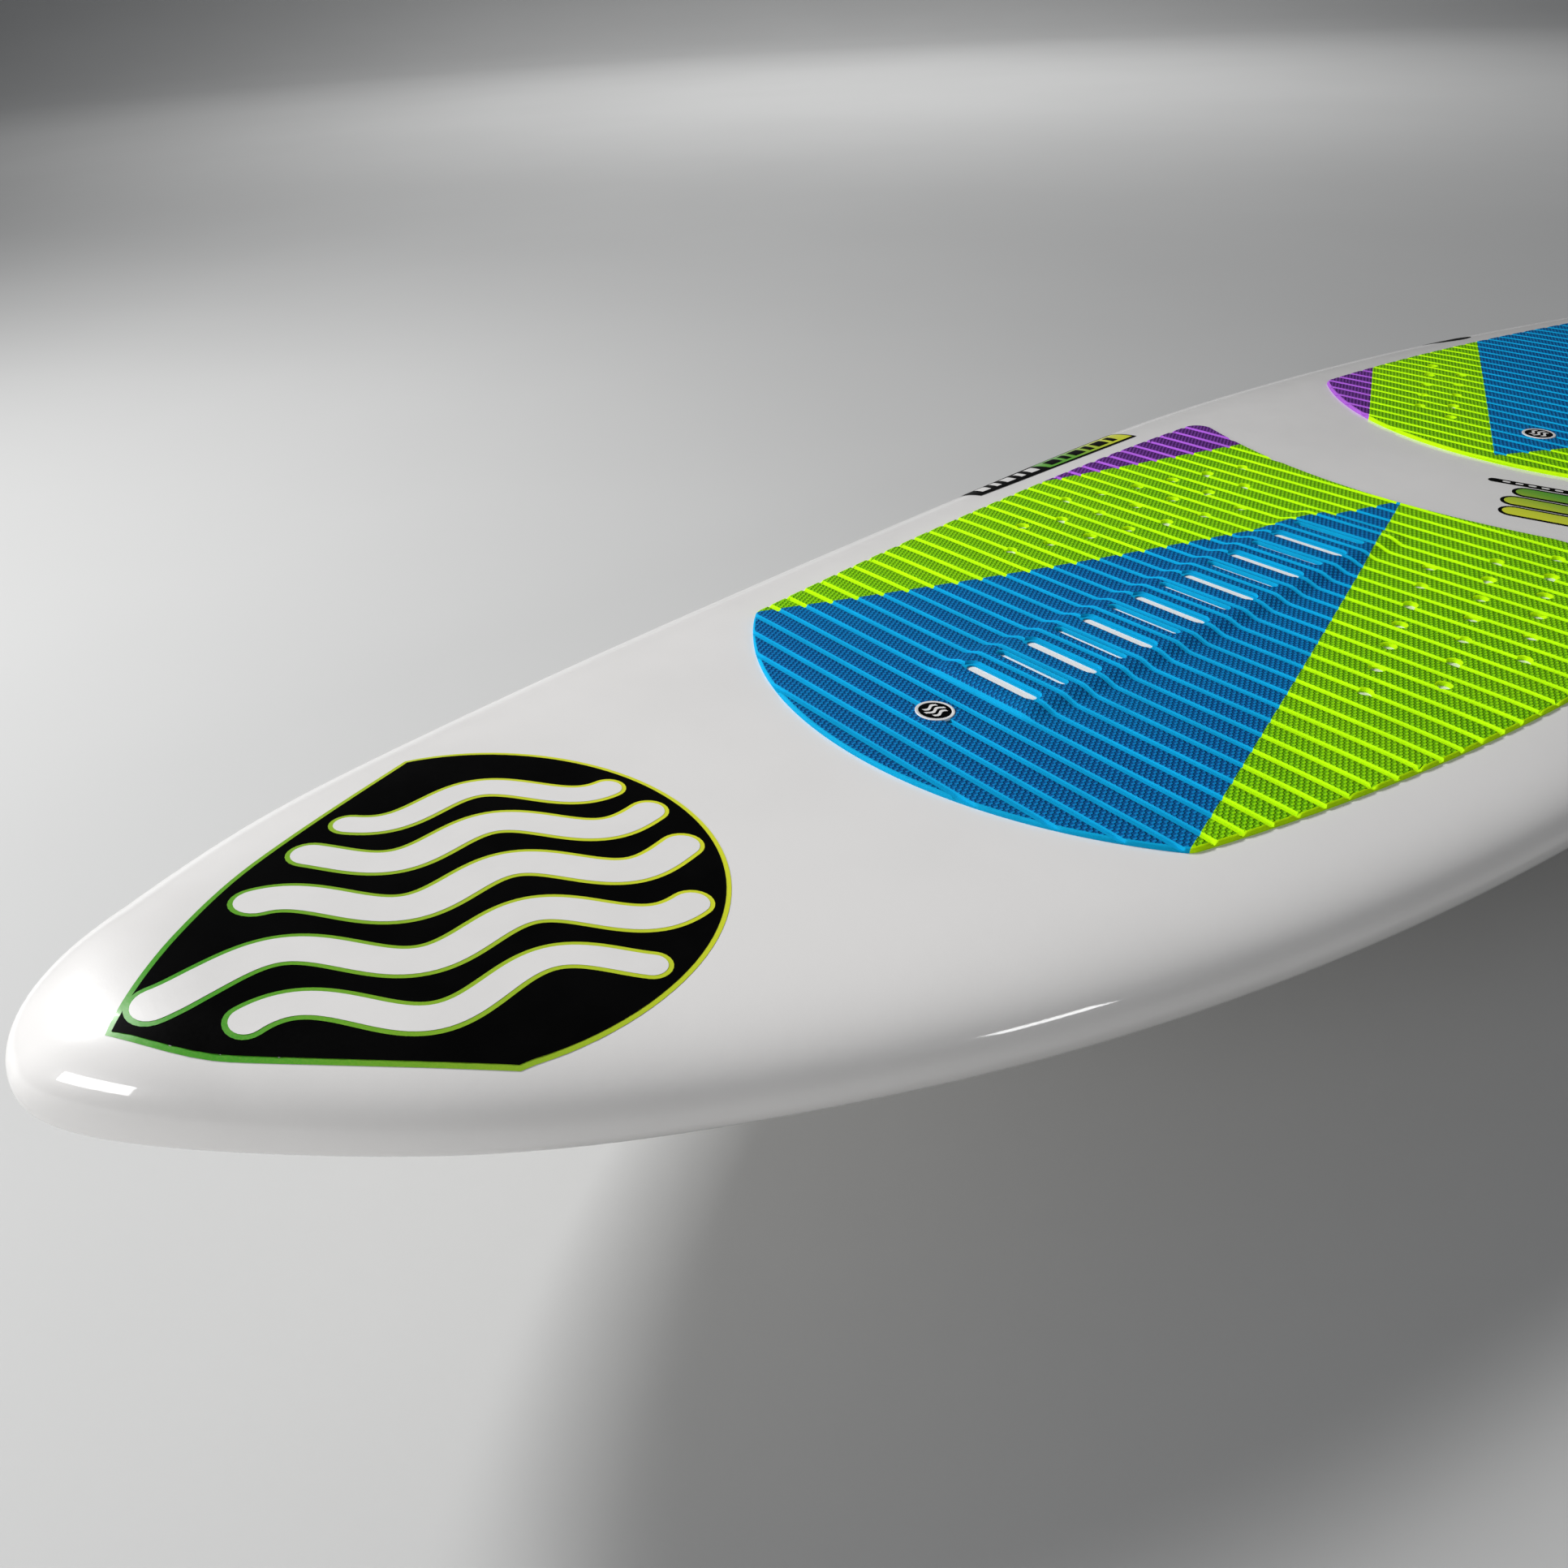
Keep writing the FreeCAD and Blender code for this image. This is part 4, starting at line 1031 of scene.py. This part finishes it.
def build_middle_mark():
    fade = fade_material("ink_middle_fade", -138.0, -78.0, GREEN, YELLOW)
    inner = [
        mark_loop(across, start + MARK_BORDER, end - MARK_BORDER, MARK_WIDTH - 2 * MARK_BORDER)
        for across, start, end in MARK_BARS
    ]
    starts = np.arange(RULE_START + 9, RULE_END - 8, DASH_PITCH)
    dashes = [mark_loop(RULE_ACROSS, start, start + DASH_LENGTH, DASH_WIDTH) for start in starts]
    decal("middle_mark_border", [mark_loop(*bar, MARK_WIDTH) for bar in MARK_BARS], BLACK_INK, 1)
    decal("middle_mark", inner, fade, 2)
    decal("middle_mark_rule", [mark_loop(RULE_ACROSS, RULE_START, RULE_END, RULE_WIDTH)], BLACK_INK, 1)
    decal("middle_mark_dashes", dashes, WHITE_INK, 2)


LEAF_CENTRE, LEAF_TURN = (-458.5, 185.0), 0.45
LEAF_HALF_LENGTH, LEAF_HALF_WIDTH, LEAF_POINT = 25, 9, 0.3  # the last draws its ends out to points


def build_rail_leaves():
    """A dark leaf shape by each rail at the rear pad."""
    angles = np.linspace(0, 2 * math.pi, 40, endpoint=False)
    across = LEAF_HALF_WIDTH * np.sin(angles) * np.abs(np.sin(angles)) ** LEAF_POINT
    leaf = turned(np.column_stack((LEAF_HALF_LENGTH * np.cos(angles), across)), LEAF_TURN) + LEAF_CENTRE
    decal("rear_rail_leaves", both_sides([leaf]), BLACK_INK, 1)


# ---- badges ----
BADGES = (("front", 380.7, 9.8), ("rear", -235.3, 11.2))
BADGE_PROUD, BADGE_THICK, BADGE_ROUND = 0.45, 1.0, 0.35
BADGE_PROFILE = (  # from the middle out: share of the radius, and level from the top
    (0.45, 0.0), (0.80, 0.0), (0.83, -0.12), (0.86, 0.0), (0.97, 0.0),
    (0.99, -BADGE_ROUND / 3), (1.0, -BADGE_ROUND), (1.0, -BADGE_PROUD - BADGE_THICK),
)
BADGE_FACE = 0.84  # the rest of the radius is the white rim
BADGE_WAVES = ((-0.36, 0.46), (0.0, 0.6), (0.36, 0.46))  # offset and half length, of the radius
BADGE_SWING, BADGE_TURNS, BADGE_HALF_BAND = 0.1, 7, 0.09


def badge_top(x, y):
    """The level of the badges over the deck."""
    return deck_height(x, y) + PAD_THICK + BADGE_PROUD


def build_badges():
    """Thin rubber discs let into the pads: a white rim, a dark face and three little waves."""
    for name, centre_x, radius in BADGES:
        rows = []
        for share, level in BADGE_PROFILE[::-1]:
            x, y = circle_loop((centre_x, 0.0), share * radius, 64).T
            rows.append(np.column_stack((x, y, badge_top(x, y) + level)))
        points, faces = closed_rows(rows)
        firsts = points[[face[0] for face in faces]]
        slots = np.hypot(firsts[:, 0] - centre_x, firsts[:, 1]) > BADGE_FACE * radius
        piece = make_piece(f"{name}_badge_disc", points, faces, [BLACK_INK, WHITE_INK], slots, sharp=30.0)
        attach(piece, "board")
        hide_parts(f"{name}_badge")
        waves, half = [], (0, BADGE_HALF_BAND * radius)
        for offset, reach in BADGE_WAVES:
            along = np.linspace(-reach, reach, 25)
            line = np.column_stack((along, offset + BADGE_SWING * np.sin(along * BADGE_TURNS))) * radius
            waves.append(np.vstack((line - half, (line + half)[::-1])) + (centre_x, 0))
        decal(f"{name}_badge_waves", waves, WHITE_INK, 0.4, 1.0, badge_top)


# ---- run ----
build_shell()
build_fins()
front_pad()
rear_pad()
build_badges()
build_emblem()
build_strips()
build_middle_mark()
build_rail_leaves()

CAD_FINISHES = (
    (core_material("core_beads", (0.85, 0.86, 0.84), 260.0), "foam_core_left", "foam_core_right"),
    (core_material("hard_foam_cells", (0.70, 0.62, 0.42), 900.0), "front_deck_stiffener",
     "rear_deck_stiffener"),
    (wood_material(), "stringer"),
    (white_foam_material(), "front_arch_bar"),
    (moulded_material("fin_box_nylon", (0.80, 0.80, 0.79), 0.42), "fin_box_centre", "fin_box_left",
     "fin_box_right"),
    (moulded_material("plug_nylon", (0.015, 0.015, 0.016), 0.38), "leash_cup", "vent_body"),
    (moulded_material("seal_rubber", (0.010, 0.010, 0.010), 0.7, 2200.0), "vent_oring"),
    (steel_material(), "fin_screw_centre", "fin_screw_left", "fin_screw_right", "leash_pin", "vent_plug"),
)
for finish, *nodes in CAD_FINISHES:
    for node in nodes:
        data = frame["nodes"][node].data
        data.materials.clear()
        data.materials.append(finish)

# ---- stage, light and camera ----
CAMERA_PLACE, CAMERA_AIM = Vector((0.7426, 0.3616, 0.4775)), Vector((0.4611, -0.0172, 0.1537))
CAMERA_ROLL, CAMERA_LENS = math.radians(-3.0), 28.1
FLOOR_FLAT, FLOOR_EDGE, FLOOR_CURVE = 7.0, 12.0, 0.22  # radii in metres, and how fast it curves up


def add_camera():
    data = bpy.data.cameras.new("camera")
    data.lens, data.sensor_width, data.clip_start = CAMERA_LENS, 36.0, 0.02
    camera = add_object("camera", data)
    camera.location = CAMERA_PLACE
    look = (CAMERA_AIM - CAMERA_PLACE).to_track_quat("-Z", "Y").to_matrix()
    camera.rotation_euler = (look @ Matrix.Rotation(CAMERA_ROLL, 3, "Z")).to_euler()
    bpy.context.scene.camera = camera


def add_area(name, place, aim, width, height, power, spread=180.0):
    data = bpy.data.lights.new(name, "AREA")
    data.shape, data.size, data.size_y, data.energy = "RECTANGLE", width, height, power
    data.spread = math.radians(spread)
    light = add_object(name, data)
    light.location = place
    light.rotation_euler = (Vector(aim) - Vector(place)).to_track_quat("-Z", "Y").to_euler()


def add_floor():
    """A pale floor that curves up far behind the board on every side."""
    radii = np.concatenate((np.linspace(0.5, FLOOR_FLAT, 12), np.linspace(7.4, FLOOR_EDGE, 14)))
    count = 96
    rings = []
    for radius in radii:
        rise = FLOOR_CURVE * max(0.0, radius - FLOOR_FLAT) ** 2
        rings.append(np.column_stack((circle_loop((0.0, 0.0), radius, count), np.full(count, rise))))
    points = np.vstack(rings) / MM
    faces = grid_faces(len(radii), count) + [tuple(range(count - 1, -1, -1))]
    n = Nodes("floor_paper")
    n.set(Base_Color=n.tinted((0.52, 0.52, 0.515), 0.012, 1.5), Roughness=0.9, Specular_IOR_Level=0.2)
    n.bump(n.noise(400, 2.0), 0.0001, 0.2)
    floor = make_piece("studio_floor", points, faces, [n.material], lift=0.0)


add_camera()
add_floor()
add_area("key", (1.29, -1.49, 1.83), (0.45, 0.0, 0.15), 0.8, 0.5, 59.0)
add_area("front", (2.20, 0.20, 0.80), (0.60, 0.0, 0.18), 0.8, 0.4, 14.0)
add_area("streak", (-0.10, 1.70, 0.95), (0.45, 0.21, 0.15), 0.3, 0.15, 2.5)
add_area("backdrop", (-2.6, -3.6, 4.0), (-3.0, -4.1, 0.0), 4.0, 4.0, 85.0, 100.0)
world = bpy.data.worlds.new("studio")
bpy.context.scene.world = world
world.use_nodes = True
background = world.node_tree.nodes["Background"].inputs
background["Color"].default_value, background["Strength"].default_value = (0.9, 0.94, 1.0, 1.0), 0.14
bpy.context.scene.view_settings.view_transform = "Standard"
